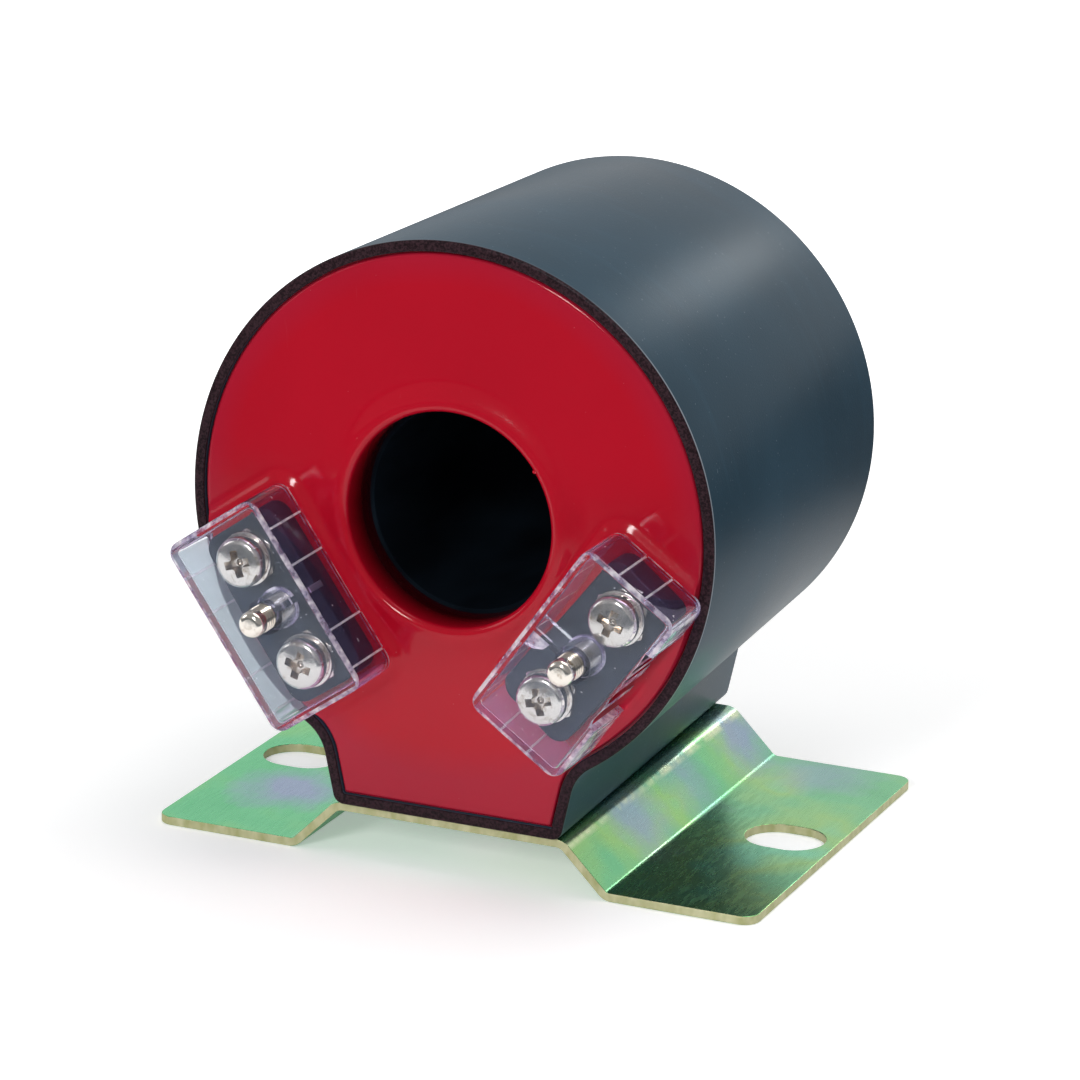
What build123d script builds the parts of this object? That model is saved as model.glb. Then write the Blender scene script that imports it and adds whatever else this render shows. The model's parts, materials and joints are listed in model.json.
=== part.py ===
from build123d import *
import math
import os

# Through-bore current transformer: a resin-filled case on a folded bracket.
# Frame: X across the feet, Y from the open front (-) to the closed rear (+), Z up.
# Origin: the middle of the slot pattern, on the underside of the feet.
# All sizes are in millimetres and all angles in degrees.

# Bracket, folded from one strip of sheet
SHEET = 1.6
BRACKET_DEPTH = 80.0
FOOT_END = 58.7
FOOT_BEND = 30.9
HAT_BEND = 22.4
HAT_HEIGHT = 10.1
BEND_RADIUS = 1.6
FOOT_CORNER = 3.0
SLOT_X = 48.8
SLOT_LENGTH = 15.0
SLOT_WIDTH = 12.0

# Case: a drum on a flared pedestal, with the bore tube moulded in
DRUM_RADIUS = 50.0
AXIS_ABOVE_SEAT = 56.0
CASE_DEPTH = 86.0
CASE_OVERHANG = 1.0
CASE_WALL = 2.0
REAR_WALL = 2.5
DRAFT = 1.9
PEDESTAL_HALF = 22.0
PEDESTAL_FLARE = 12.4
PEDESTAL_CORNER = 2.0
PEDESTAL_FILLET = 8.0
RIM_ROUND = 0.5
REAR_ROUND = 1.5
BORE_RADIUS = 18.7
BORE_WALL = 2.1
TUBE_SETBACK = 9.0

# Resin, cast in from the front
RESIN_SETBACK = 0.35
EDGE_GROOVE = 0.35
GROOVE_DEPTH = 1.0
RESIN_ROUND = 0.6
MOUTH_STEP = 0.8
LIP_CREST = 1.2
LIP_RISE = 1.0
LIP_SLOPE = 6.0
LIP_TURN = 0.3
SKIRT_RISE = 0.6
SKIRT_SPREAD = 3.0

# Core, its layers and their place in the resin
POTTING_GAP = 2.4
CORE_BUILD = 12.0
INSULATION = 0.8
WINDING_BUILD = 2.5
TAPE = 0.5
CORE_CHAMFER = 0.5
LEAD_RUN = 14.0
LEAD_RADIUS = 0.8
LEAD_OFFSET = 2.4
LEAD_BEND = 2.0

# Terminal blocks, one each side of the bore, long axes in a V
BLOCK_X = 29.4
BLOCK_DROP = 18.2
BLOCK_ANGLE = 55.0
RIGHT_BLOCK_TURN = -4.0
BASE_END_GAP = 1.0
BASE_SIDE_GAP = 1.2
BASE_CORNER = 3.0
BASE_TOP = 6.0
BASE_ROOT = 9.0
BASE_EDGE_ROUND = 0.4
TERMINAL_MARGIN = 6.45
INSERT_FLATS = 9.5
INSERT_PROUD = 1.0
LINK_THICKNESS = 1.0
LINK_WIDTH = 7.0
LINK_OVERHANG = 4.0

# Screws, washers and studs, all with the same thread
THREAD_RADIUS = 2.45
THREAD_CLEARANCE = 0.05
FLAT_RADIUS = 5.0
FLAT_THICKNESS = 1.0
SPRING_RADIUS = 4.4
SPRING_THICKNESS = 1.1
SPRING_SLIT = 0.8
WASHER_CLEARANCE = 0.2
HEAD_RADIUS = 4.6
HEAD_HEIGHT = 2.5
HEAD_ROUND = 1.0
CROSS_LENGTH = 5.4
CROSS_WIDTH = 1.3
CROSS_DEPTH = 1.4
TERMINAL_SHANK = 12.0
THREAD_SPARE = 2.0
STUD_TIP = 18.7
STUD_ROOT = 4.0
STUD_ROUND = 1.2
SEAL_HOLE_RADIUS = 0.6
SEAL_HOLE_FROM_TIP = 1.9

# Clear covers
COVER_LENGTH = 38.3
COVER_WIDTH = 20.6
COVER_CORNER = 3.0
COVER_FRONT = 13.4
COVER_WALL = 1.3
COVER_PLATE = 1.2
COVER_ROUND = 0.9
COVER_REST = 0.1
SLEEVE_RADIUS = 3.4
SLEEVE_CLEARANCE = 0.2
FLANGE_RADIUS = 3.75
FLANGE_THICKNESS = 0.8
WEB_THICKNESS = 1.2
SCORE_WIDTH = 0.4
SCORE_DEPTH = 0.3
LONG_SCORES = (-15.4, -7.8, 5.3, 12.7)
END_SCORES = (-3.0, 3.0)
WINDOW_LOW = -6.5
WINDOW_HIGH = 11.5
WINDOW_RECESS = 1.5

# Fixing of the case to the bracket, from below
FIXING_Y = 25.0
FIXING_CLEARANCE = 0.3
FIXING_SHANK = 10.0
INSERT_RADIUS = 3.6
INSERT_LENGTH = 8.0
INSERT_GROOVE = 0.4
INSERT_GROOVE_WIDTH = 1.2
BOSS_WALL = 2.0
BOSS_ROOF = 2.0

# Places that follow from the sizes above
SIDES = ("left", "right")
AXIS_Z = HAT_HEIGHT + AXIS_ABOVE_SEAT
FRONT_Y = -BRACKET_DEPTH / 2 - CASE_OVERHANG
REAR_Y = FRONT_Y + CASE_DEPTH
REAR_INSIDE = REAR_Y - REAR_WALL
TUBE_RADIUS = BORE_RADIUS + BORE_WALL
TUBE_FRONT = FRONT_Y + TUBE_SETBACK
MOUTH_RADIUS = BORE_RADIUS + MOUTH_STEP
RESIN_FACE = FRONT_Y + RESIN_SETBACK
SKIRT_TOP = SKIRT_RISE - RESIN_SETBACK
COVER_RIM = SKIRT_TOP + COVER_REST
LAYERS = INSULATION + WINDING_BUILD + TAPE
CORE_INNER = TUBE_RADIUS + POTTING_GAP + LAYERS
CORE_OUTER = CORE_INNER + CORE_BUILD
CORE_REAR = REAR_INSIDE - POTTING_GAP - LAYERS
LINK_BACK = FRONT_Y + BASE_ROOT + LINK_THICKNESS
CORE_FRONT = LINK_BACK + LEAD_RUN + INSULATION + WINDING_BUILD
CORE_LENGTH = CORE_REAR - CORE_FRONT
BASE_LENGTH = COVER_LENGTH - 2 * (COVER_WALL + BASE_END_GAP)
BASE_WIDTH = COVER_WIDTH - 2 * (COVER_WALL + BASE_SIDE_GAP)
TERMINAL_PITCH = BASE_LENGTH - 2 * TERMINAL_MARGIN
INSERT_TOP = BASE_TOP + INSERT_PROUD
FLAT_TOP = INSERT_TOP + FLAT_THICKNESS
SPRING_TOP = FLAT_TOP + SPRING_THICKNESS
THREAD_BORE = THREAD_RADIUS + THREAD_CLEARANCE
BLOCK_PLANE = Plane(
    origin=(BLOCK_X, FRONT_Y, AXIS_Z - BLOCK_DROP),
    x_dir=(math.cos(math.radians(BLOCK_ANGLE)), 0, math.sin(math.radians(BLOCK_ANGLE))),
    z_dir=(0, -1, 0),
)


def depth_plane(y):
    """Sketch plane at depth y that faces the front: its x is X and its y is Z."""
    return Plane.XZ.offset(-y)


def prism(outline, y_front, y_rear):
    """One outline carried from y_front back to y_rear."""
    return extrude(depth_plane(y_rear) * outline, y_rear - y_front)


def about_bore(radius, y_front, y_rear):
    """Cylinder round the bore axis."""
    return prism(Pos(0, AXIS_Z) * Circle(radius), y_front, y_rear)


def upright(radius, low, high):
    """Cylinder along the local z axis, from low to high."""
    return Pos(0, 0, low) * extrude(Circle(radius), high - low)


def case_outline(y, inset):
    """Outline of the case at depth y, set in from its outer face by inset."""
    slope = math.tan(math.radians(PEDESTAL_FLARE))
    loss = (y - FRONT_Y) * math.tan(math.radians(DRAFT))
    seat = HAT_HEIGHT + inset
    half = PEDESTAL_HALF - loss + inset * (slope - math.hypot(1, slope))
    shoulder = half + (AXIS_Z - seat) * slope
    pedestal = make_face(Polyline(
        (-half, seat), (half, seat), (shoulder, AXIS_Z), (-shoulder, AXIS_Z), close=True))
    outline = Pos(0, AXIS_Z) * Circle(DRUM_RADIUS - loss - inset) + pedestal
    outline = fillet(outline.vertices().sort_by(Axis.Y)[2:4], PEDESTAL_FILLET + inset)
    corner = max(PEDESTAL_CORNER - inset, CASE_WALL / 4)
    return fillet(outline.vertices().sort_by(Axis.Y)[0:2], corner)


def case_body(y_front, y_rear, inset):
    """Drafted body of the case between two depths, set in by inset."""
    ends = [depth_plane(y) * case_outline(y, inset) for y in (y_front, y_rear)]
    return loft(ends, ruled=True)


def edges_at(solid, y):
    """Edges that lie in the plane at depth y."""
    return solid.edges().filter_by_position(Axis.Y, y - 0.001, y + 0.001)


def fixing_places():
    """Front and rear fixing of the case, as names and places on the hat."""
    return {"front": -FIXING_Y, "rear": FIXING_Y}


def housing_shell():
    """Moulded case: drum, pedestal, rear wall, bore tube and the fixing bosses."""
    body = case_body(FRONT_Y, REAR_Y, 0)
    body = fillet(edges_at(body, REAR_Y), REAR_ROUND)
    body = fillet(edges_at(body, FRONT_Y), RIM_ROUND)
    body -= case_body(FRONT_Y - RIM_ROUND, REAR_INSIDE, CASE_WALL)
    body += about_bore(TUBE_RADIUS, TUBE_FRONT, REAR_Y - REAR_ROUND)
    for y in fixing_places().values():
        body += Pos(0, y, HAT_HEIGHT) * fixing_boss()
        body -= Pos(0, y, HAT_HEIGHT) * upright(INSERT_RADIUS, 0, INSERT_LENGTH)
    return body - about_bore(BORE_RADIUS, FRONT_Y, REAR_Y)


def fixing_boss():
    """Boss inside the pedestal that carries a threaded insert."""
    return upright(INSERT_RADIUS + BOSS_WALL, CASE_WALL / 2, INSERT_LENGTH + BOSS_ROOF)


def resin_lip():
    """Ring of resin round the mouth of the bore, in front of the bore tube."""
    crest = (MOUTH_RADIUS + LIP_CREST, RESIN_FACE - LIP_RISE)
    foot = (crest[0] + LIP_SLOPE, RESIN_FACE)
    turn = (crest[0] + LIP_SLOPE * LIP_TURN, crest[1] + LIP_RISE * LIP_TURN)
    crown = TangentArc(crest, (MOUTH_RADIUS, crest[1] + LIP_CREST), tangent=(-1, 0))
    inner = Line((MOUTH_RADIUS, crest[1] + LIP_CREST), (MOUTH_RADIUS, TUBE_FRONT))
    over = TangentArc(crest, turn, tangent=(1, 0))
    under = TangentArc(foot, turn, tangent=(-1, 0))
    root = Polyline((MOUTH_RADIUS, TUBE_FRONT), (foot[0], TUBE_FRONT), foot)
    profile = make_face(crown + inner + over + under + root)
    return Pos(0, 0, AXIS_Z) * revolve(profile, Axis.Y)


def resin_skirt():
    """Low rise of resin round a terminal block, in the block's own frame."""
    wide = RectangleRounded(
        COVER_LENGTH + 2 * SKIRT_SPREAD, COVER_WIDTH + 2 * SKIRT_SPREAD, COVER_CORNER + SKIRT_SPREAD)
    narrow = RectangleRounded(COVER_LENGTH, COVER_WIDTH, COVER_CORNER)
    foot = -RESIN_SETBACK
    return loft([Pos(0, 0, foot) * wide, Pos(0, 0, foot + SKIRT_RISE) * narrow], ruled=True)


def resin_fill(embedded):
    """Resin that fills the case round the embedded pieces."""
    top_inset = CASE_WALL + EDGE_GROOVE
    groove_floor = RESIN_FACE + GROOVE_DEPTH
    cap = case_body(RESIN_FACE, groove_floor, top_inset)
    cap = fillet(edges_at(cap, RESIN_FACE), RESIN_ROUND)
    skirts = [block_place(side, resin_skirt()) for side in SIDES]
    limit = case_body(RESIN_FACE - SKIRT_RISE - RIM_ROUND, groove_floor, top_inset + RESIN_ROUND)
    body = case_body(groove_floor, REAR_INSIDE, CASE_WALL) + cap + resin_lip()
    for skirt in skirts:
        body += skirt & limit
    body -= about_bore(TUBE_RADIUS, TUBE_FRONT, REAR_Y)
    body -= about_bore(MOUTH_RADIUS, FRONT_Y - CASE_WALL, REAR_Y)
    for y in fixing_places().values():
        body -= Pos(0, y, HAT_HEIGHT) * fixing_boss()
    for piece in embedded:
        body -= piece
    return body


def ring_envelope(layer):
    """Outer form of the core with a layer of the given thickness round it."""
    length = CORE_LENGTH + 2 * layer
    build = CORE_BUILD + 2 * layer
    section = Pos((CORE_INNER + CORE_OUTER) / 2, CORE_FRONT + CORE_LENGTH / 2) * Rectangle(build, length)
    section = chamfer(section.vertices(), CORE_CHAMFER + layer * (2 - math.sqrt(2)))
    return Pos(0, 0, AXIS_Z) * revolve(section, Axis.Y)


def core_pieces():
    """Core, its insulation, the winding and the tape, one round the other."""
    core = ring_envelope(0)
    capped = ring_envelope(INSULATION)
    wound = ring_envelope(INSULATION + WINDING_BUILD)
    taped = ring_envelope(LAYERS)
    tape = taped - wound
    for side in SIDES:
        tape -= cast_in(side, winding_lead())
    pieces = {
        "toroid_core": core,
        "core_insulation": capped - core,
        "secondary_winding": wound - capped,
        "winding_tape": tape,
    }
    return pieces, taped


def block_place(side, solid):
    """Moves a piece from the block's frame to one side of the case."""
    placed = BLOCK_PLANE.location * solid
    return placed if side == "right" else mirror(placed, about=Plane.YZ)


def cast_in(side, solid):
    """Places a piece that is cast in; the right block set slightly askew under its cover."""
    turn = RIGHT_BLOCK_TURN if side == "right" else 0
    return block_place(side, Rot(0, 0, turn) * solid)


def terminal_spots():
    """Places of the two terminals along the block."""
    return {"upper": TERMINAL_PITCH / 2, "lower": -TERMINAL_PITCH / 2}


def hexagon(low, high):
    """Hexagonal prism of the terminal insert."""
    return Pos(0, 0, low) * extrude(RegularPolygon(INSERT_FLATS / 2, 6, major_radius=False), high - low)


def terminal_base():
    """Moulded block that stands in the resin and holds two inserts and the stud."""
    block = Pos(0, 0, -BASE_ROOT) * extrude(
        RectangleRounded(BASE_LENGTH, BASE_WIDTH, BASE_CORNER), BASE_ROOT + BASE_TOP)
    block = fillet(block.faces().sort_by(Axis.Z)[-1].edges(), BASE_EDGE_ROUND)
    for u in terminal_spots().values():
        block -= Pos(u, 0) * hexagon(-BASE_ROOT, BASE_TOP)
    return block - upright(THREAD_BORE, -STUD_ROOT, BASE_TOP)


def terminal_insert():
    """Threaded hexagonal insert, closed at its root."""
    depth = SPRING_TOP - TERMINAL_SHANK - THREAD_SPARE
    insert = hexagon(-BASE_ROOT, INSERT_TOP)
    return insert - upright(THREAD_BORE, depth, INSERT_TOP)


def flat_washer():
    """Plain washer, resting on z = 0."""
    return upright(FLAT_RADIUS, 0, FLAT_THICKNESS) - upright(
        THREAD_RADIUS + WASHER_CLEARANCE, 0, FLAT_THICKNESS)


def spring_washer():
    """Split washer pressed flat, resting on z = 0."""
    ring = upright(SPRING_RADIUS, 0, SPRING_THICKNESS)
    ring -= upright(THREAD_RADIUS + WASHER_CLEARANCE, 0, SPRING_THICKNESS)
    slit = Box(SPRING_RADIUS * 2, SPRING_SLIT, SPRING_THICKNESS * 2)
    return ring - Pos(SPRING_RADIUS, 0, SPRING_THICKNESS / 2) * Rot(0, 0, 20) * slit


def pan_screw(shank):
    """Pan head screw, head seat on z = 0 and shank below it."""
    head = upright(HEAD_RADIUS, 0, HEAD_HEIGHT)
    head = fillet(head.faces().sort_by(Axis.Z)[-1].edges(), HEAD_ROUND)
    for turn in (0, 90):
        head -= Pos(0, 0, HEAD_HEIGHT) * Rot(0, 0, turn) * Box(
            CROSS_LENGTH, CROSS_WIDTH, CROSS_DEPTH * 2)
    thread = upright(THREAD_RADIUS, -shank, 0)
    thread = chamfer(thread.faces().sort_by(Axis.Z)[0].edges(), THREAD_RADIUS / 5)
    return head + thread


def cover_stud():
    """Threaded stud with a rounded tip and a cross hole for a seal wire."""
    stud = upright(THREAD_RADIUS, -STUD_ROOT, STUD_TIP)
    stud = fillet(stud.faces().sort_by(Axis.Z)[-1].edges(), STUD_ROUND)
    hole = Rot(0, 90, 0) * Cylinder(SEAL_HOLE_RADIUS, THREAD_RADIUS * 4)
    return stud - Pos(0, 0, STUD_TIP - SEAL_HOLE_FROM_TIP) * hole


def link_plate():
    """Strap behind the base that joins the two inserts."""
    length = TERMINAL_PITCH + 2 * LINK_OVERHANG
    strap = RectangleRounded(length, LINK_WIDTH, LINK_WIDTH / 3)
    return Pos(0, 0, -BASE_ROOT - LINK_THICKNESS) * extrude(strap, LINK_THICKNESS)


def winding_lead():
    """Wire from the front of the winding to the link plate, in the block's frame."""
    top = -BASE_ROOT - LINK_THICKNESS
    bottom = top - LEAD_RUN
    step = LEAD_RUN / 3
    route = FilletPolyline(
        (0, 0, top), (0, 0, top - step), (LEAD_OFFSET, 0, bottom + step), (LEAD_OFFSET, 0, bottom),
        radius=LEAD_BEND)
    return sweep(Plane.XY.offset(top) * Circle(LEAD_RADIUS), path=route)


def block_pieces():
    """Pieces of one block that stay on the case, in the block's frame."""
    pieces = {
        "terminal_base": terminal_base(),
        "link_plate": link_plate(),
        "winding_lead": winding_lead(),
        "cover_stud": cover_stud(),
    }
    for spot, u in terminal_spots().items():
        pieces[spot + "_terminal_insert"] = Pos(u, 0) * terminal_insert()
        pieces[spot + "_flat_washer"] = Pos(u, 0, INSERT_TOP) * flat_washer()
        pieces[spot + "_spring_washer"] = Pos(u, 0, FLAT_TOP) * spring_washer()
        pieces[spot + "_terminal_screw"] = Pos(u, 0, SPRING_TOP) * pan_screw(TERMINAL_SHANK)
    return pieces


def score(u, v):
    """Thin groove down the outside of the cover's wall at (u, v)."""
    along_wall = abs(v) < COVER_WIDTH / 2
    size = (2 * SCORE_DEPTH, SCORE_WIDTH) if along_wall else (SCORE_WIDTH, 2 * SCORE_DEPTH)
    high = COVER_FRONT - COVER_ROUND
    return Pos(u, v, COVER_RIM) * extrude(Rectangle(*size), high - COVER_RIM)


def cover():
    """Clear cover with its sleeve, web and score lines, in the block's frame."""
    depth = COVER_FRONT - COVER_RIM
    body = Pos(0, 0, COVER_RIM) * extrude(
        RectangleRounded(COVER_LENGTH, COVER_WIDTH, COVER_CORNER), depth)
    body = fillet(body.faces().sort_by(Axis.Z)[-1].edges(), COVER_ROUND)
    inner = RectangleRounded(
        COVER_LENGTH - 2 * COVER_WALL, COVER_WIDTH - 2 * COVER_WALL, COVER_CORNER - COVER_WALL)
    body -= Pos(0, 0, COVER_RIM) * extrude(inner, depth - COVER_PLATE)
    foot = BASE_TOP + COVER_REST
    body += upright(SLEEVE_RADIUS, foot, COVER_FRONT - COVER_PLATE / 2)
    body += upright(FLANGE_RADIUS, foot, foot + FLANGE_THICKNESS)
    web = Rectangle(WEB_THICKNESS, COVER_WIDTH / 2 - COVER_WALL / 2, align=(Align.CENTER, Align.MIN))
    body += Pos(0, 0, foot) * extrude(web, COVER_FRONT - COVER_PLATE / 2 - foot)
    body -= upright(THREAD_RADIUS + SLEEVE_CLEARANCE, COVER_RIM, COVER_FRONT)
    for u in LONG_SCORES:
        body -= score(u, COVER_WIDTH / 2) + score(u, -COVER_WIDTH / 2)
    for v in END_SCORES:
        body -= score(COVER_LENGTH / 2, v) + score(-COVER_LENGTH / 2, v)
    return body


def wire_window():
    """Space left where the outer panel of a cover is broken out."""
    width = WINDOW_HIGH - WINDOW_LOW
    depth = COVER_FRONT - COVER_RIM
    outline = Pos(WINDOW_LOW, -COVER_WIDTH / 2) * Rectangle(
        width, WINDOW_RECESS, align=(Align.MIN, Align.MIN))
    return Pos(0, 0, COVER_RIM) * extrude(outline, depth)


def mounting_bracket():
    """Folded strip: two slotted feet and a raised hat."""
    rise = HAT_HEIGHT - SHEET
    mitre = SHEET * math.tan(math.atan2(rise, FOOT_BEND - HAT_BEND) / 2)
    upper = [(FOOT_END, SHEET), (FOOT_BEND, SHEET), (HAT_BEND, HAT_HEIGHT)]
    lower = [(HAT_BEND - mitre, rise), (FOOT_BEND - mitre, 0), (FOOT_END, 0)]
    left_upper = [(-x, z) for x, z in reversed(upper)]
    left_lower = [(-x, z) for x, z in reversed(lower)]
    section = make_face(Polyline(*upper, *left_upper, *left_lower, *lower, close=True))
    inside = [(FOOT_BEND, SHEET), (HAT_BEND - mitre, rise)]
    outside = [(HAT_BEND, HAT_HEIGHT), (FOOT_BEND - mitre, 0)]
    for places, radius in ((inside, BEND_RADIUS), (outside, BEND_RADIUS + SHEET)):
        section = fillet([v for v in section.vertices() if is_near(v, places)], radius)
    strip = prism(section, -BRACKET_DEPTH / 2, BRACKET_DEPTH / 2)
    ends = strip.edges().filter_by(Axis.Z).group_by(lambda edge: abs(edge.center().X))[-1]
    strip = fillet(ends, FOOT_CORNER)
    for side in (-1, 1):
        slot = SlotOverall(SLOT_LENGTH, SLOT_WIDTH)
        strip -= Pos(side * SLOT_X, 0) * extrude(slot, SHEET)
    for y in fixing_places().values():
        strip -= Pos(0, y) * upright(THREAD_RADIUS + FIXING_CLEARANCE, 0, HAT_HEIGHT)
    return strip


def is_near(vertex, places):
    """True if the vertex is one of the places, on either side."""
    return any(math.hypot(abs(vertex.X) - x, vertex.Y - z) < 0.01 for x, z in places)


def pedestal_insert():
    """Round threaded insert with a retaining groove, its foot on z = 0."""
    insert = upright(INSERT_RADIUS, 0, INSERT_LENGTH)
    low = (INSERT_LENGTH - INSERT_GROOVE_WIDTH) / 2
    groove = upright(INSERT_RADIUS, low, low + INSERT_GROOVE_WIDTH)
    groove -= upright(INSERT_RADIUS - INSERT_GROOVE, low, low + INSERT_GROOVE_WIDTH)
    return insert - groove - upright(THREAD_BORE, 0, INSERT_LENGTH)


def fixing_pieces():
    """Screws, spring washers and inserts that hold the case on the bracket."""
    pieces = {}
    under_hat = HAT_HEIGHT - SHEET
    for name, y in fixing_places().items():
        washer = Pos(0, y, under_hat) * Rot(180, 0, 0) * spring_washer()
        screw = Rot(180, 0, 0) * pan_screw(FIXING_SHANK)
        pieces[name + "_pedestal_insert"] = Pos(0, y, HAT_HEIGHT) * pedestal_insert()
        pieces[name + "_fixing_washer"] = washer
        pieces[name + "_fixing_screw"] = Pos(0, y, under_hat - SPRING_THICKNESS) * screw
    return pieces


def all_pieces():
    """Every piece of the transformer, by name."""
    core, wound_ring = core_pieces()
    pieces = {"housing_shell": housing_shell(), "mounting_bracket": mounting_bracket()}
    pieces.update(core)
    pieces.update(fixing_pieces())
    embedded = [wound_ring]
    for side in SIDES:
        for name, piece in block_pieces().items():
            pieces[side + "_" + name] = cast_in(side, piece)
        embedded += [cast_in(side, base_envelope())]
        embedded += [pieces[side + "_link_plate"], pieces[side + "_winding_lead"]]
    pieces["left_cover"] = block_place("left", cover())
    pieces["right_cover"] = block_place("right", cover() - wire_window())
    pieces["resin_fill"] = resin_fill(embedded)
    return pieces


def base_envelope():
    """Outer form of a terminal base, with its holes filled, in the block's frame."""
    outline = RectangleRounded(BASE_LENGTH, BASE_WIDTH, BASE_CORNER)
    return Pos(0, 0, -BASE_ROOT) * extrude(outline, BASE_ROOT + BASE_TOP)


def main():
    os.makedirs("parts", exist_ok=True)
    for name, piece in all_pieces().items():
        export_step(piece, "parts/" + name + ".step")


main()
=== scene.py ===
"""Through-bore current transformer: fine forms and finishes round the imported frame."""

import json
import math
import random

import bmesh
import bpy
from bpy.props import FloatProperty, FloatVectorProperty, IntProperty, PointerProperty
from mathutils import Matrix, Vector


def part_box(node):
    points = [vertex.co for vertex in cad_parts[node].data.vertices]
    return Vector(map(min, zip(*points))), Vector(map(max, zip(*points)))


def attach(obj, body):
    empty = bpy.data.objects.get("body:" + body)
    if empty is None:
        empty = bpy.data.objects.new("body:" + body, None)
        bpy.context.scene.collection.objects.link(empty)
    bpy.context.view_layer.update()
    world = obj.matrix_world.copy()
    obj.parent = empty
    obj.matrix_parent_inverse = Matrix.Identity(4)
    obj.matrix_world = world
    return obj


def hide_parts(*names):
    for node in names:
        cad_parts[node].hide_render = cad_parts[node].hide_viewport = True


bl_info = {
    "name": "Current Transformer",
    "version": (1, 0, 0),
    "blender": (4, 5, 0),
    "location": "View3D > Sidebar > Transformer",
    "description": "Builds a resin-filled current transformer on its folded bracket",
    "category": "Object",
}

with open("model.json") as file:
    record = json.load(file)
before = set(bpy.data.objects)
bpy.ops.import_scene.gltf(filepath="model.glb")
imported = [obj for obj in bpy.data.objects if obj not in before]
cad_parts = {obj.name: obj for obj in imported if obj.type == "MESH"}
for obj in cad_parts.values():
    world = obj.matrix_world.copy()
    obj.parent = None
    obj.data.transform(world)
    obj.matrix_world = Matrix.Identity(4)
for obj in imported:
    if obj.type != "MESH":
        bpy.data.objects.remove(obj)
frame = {"nodes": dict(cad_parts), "record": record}

MM = 0.001
HAIR = MM / 10
MERGE = MM / 1000
REAR_WALL = 2.5 * MM
BORE_WALL = 2.1 * MM
COVER_LENGTH, COVER_WIDTH = 38.3 * MM, 20.6 * MM
SCREW_HOLE = 2.65 * MM
THREAD_PITCH = 0.8 * MM
BODY = "transformer"
SIDES = {"right": 1, "left": -1}
SPOTS = ("upper", "lower")
ENDS = ("front", "rear")
OUTWARD = Vector((0, -1, 0))


def mount(name):
    """The record's mount of that name."""
    return next(m for m in frame["record"]["mounts"] if m["name"] == name)


def middle(node):
    """Centre of a node's box."""
    low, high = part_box(node)
    return (low + high) / 2


def reach(node):
    """How far a node's rear and front stand out from the case's front plane."""
    low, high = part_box(node)
    return FRONT_Y - high.y, FRONT_Y - low.y


CASE_LOW, CASE_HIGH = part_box("housing_shell")
FRONT_Y = CASE_LOW.y
REAR_Y = CASE_HIGH.y
SEAT_Z = CASE_LOW.z
AXIS = Vector((0, 0, mount("conductor_window")["pos_m"][2]))
BORE_RADIUS = mount("conductor_window")["dims"]["r_mm"] * MM
DRUM_RADIUS = CASE_HIGH.z - AXIS.z
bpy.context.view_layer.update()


def length(name, description, default):
    """A length that can be set."""
    return FloatProperty(
        name=name, description=description, default=default, unit="LENGTH", precision=5)


def angle(name, description, degrees):
    """An angle that can be set."""
    return FloatProperty(
        name=name, description=description, default=math.radians(degrees), unit="ROTATION")


def colour(name, description, default):
    """A colour that can be set."""
    return FloatVectorProperty(
        name=name, description=description, subtype="COLOR", size=3, default=default)


class TransformerSizes(bpy.types.PropertyGroup):
    """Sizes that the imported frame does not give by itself."""

    wall: length("Case wall", "Thickness of the moulded case", 2.0 * MM)
    draft: angle("Draft", "Angle by which the case narrows to the rear", 1.9)
    flare: angle("Pedestal flare", "Lean of the pedestal's sides", 12.4)
    pedestal_half: length("Pedestal half-width", "Half the pedestal's width at its seat", 22.0 * MM)
    pedestal_blend: length(
        "Pedestal blend", "Radius where the pedestal runs into the drum", 8.0 * MM)
    pedestal_corner: length("Pedestal corner", "Radius of the pedestal's lower corners", 2.0 * MM)
    drum_steps: IntProperty(
        name="Drum steps", description="Segments round the drum", default=288, min=32)
    tube_setback: length(
        "Tube setback", "Depth at which the bore tube starts behind the rim", 9.0 * MM)
    lip_rise: length("Lip rise", "Height of the resin's lip over its face", 1.0 * MM)
    lip_slope: length("Lip slope", "Width of the slope from the lip's crest to its foot", 6.0 * MM)
    sheet: length("Sheet", "Thickness of the bracket's sheet", 1.6 * MM)


class TransformerColours(bpy.types.PropertyGroup):
    """Colours of the finishes."""

    case: colour("Case", "Dark moulded case", (0.028, 0.064, 0.096))
    resin: colour("Resin", "Red casting resin", (0.48, 0.004, 0.018))
    chromate: colour("Chromate", "Green of the chromated sheet", (0.18, 0.52, 0.26))
    nickel: colour("Nickel", "Bright plated fasteners", (0.9, 0.85, 0.78))


def sizes():
    """The scene's sizes."""
    return bpy.context.scene.transformer_sizes


def colours():
    """The scene's colours."""
    return bpy.context.scene.transformer_colours


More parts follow.
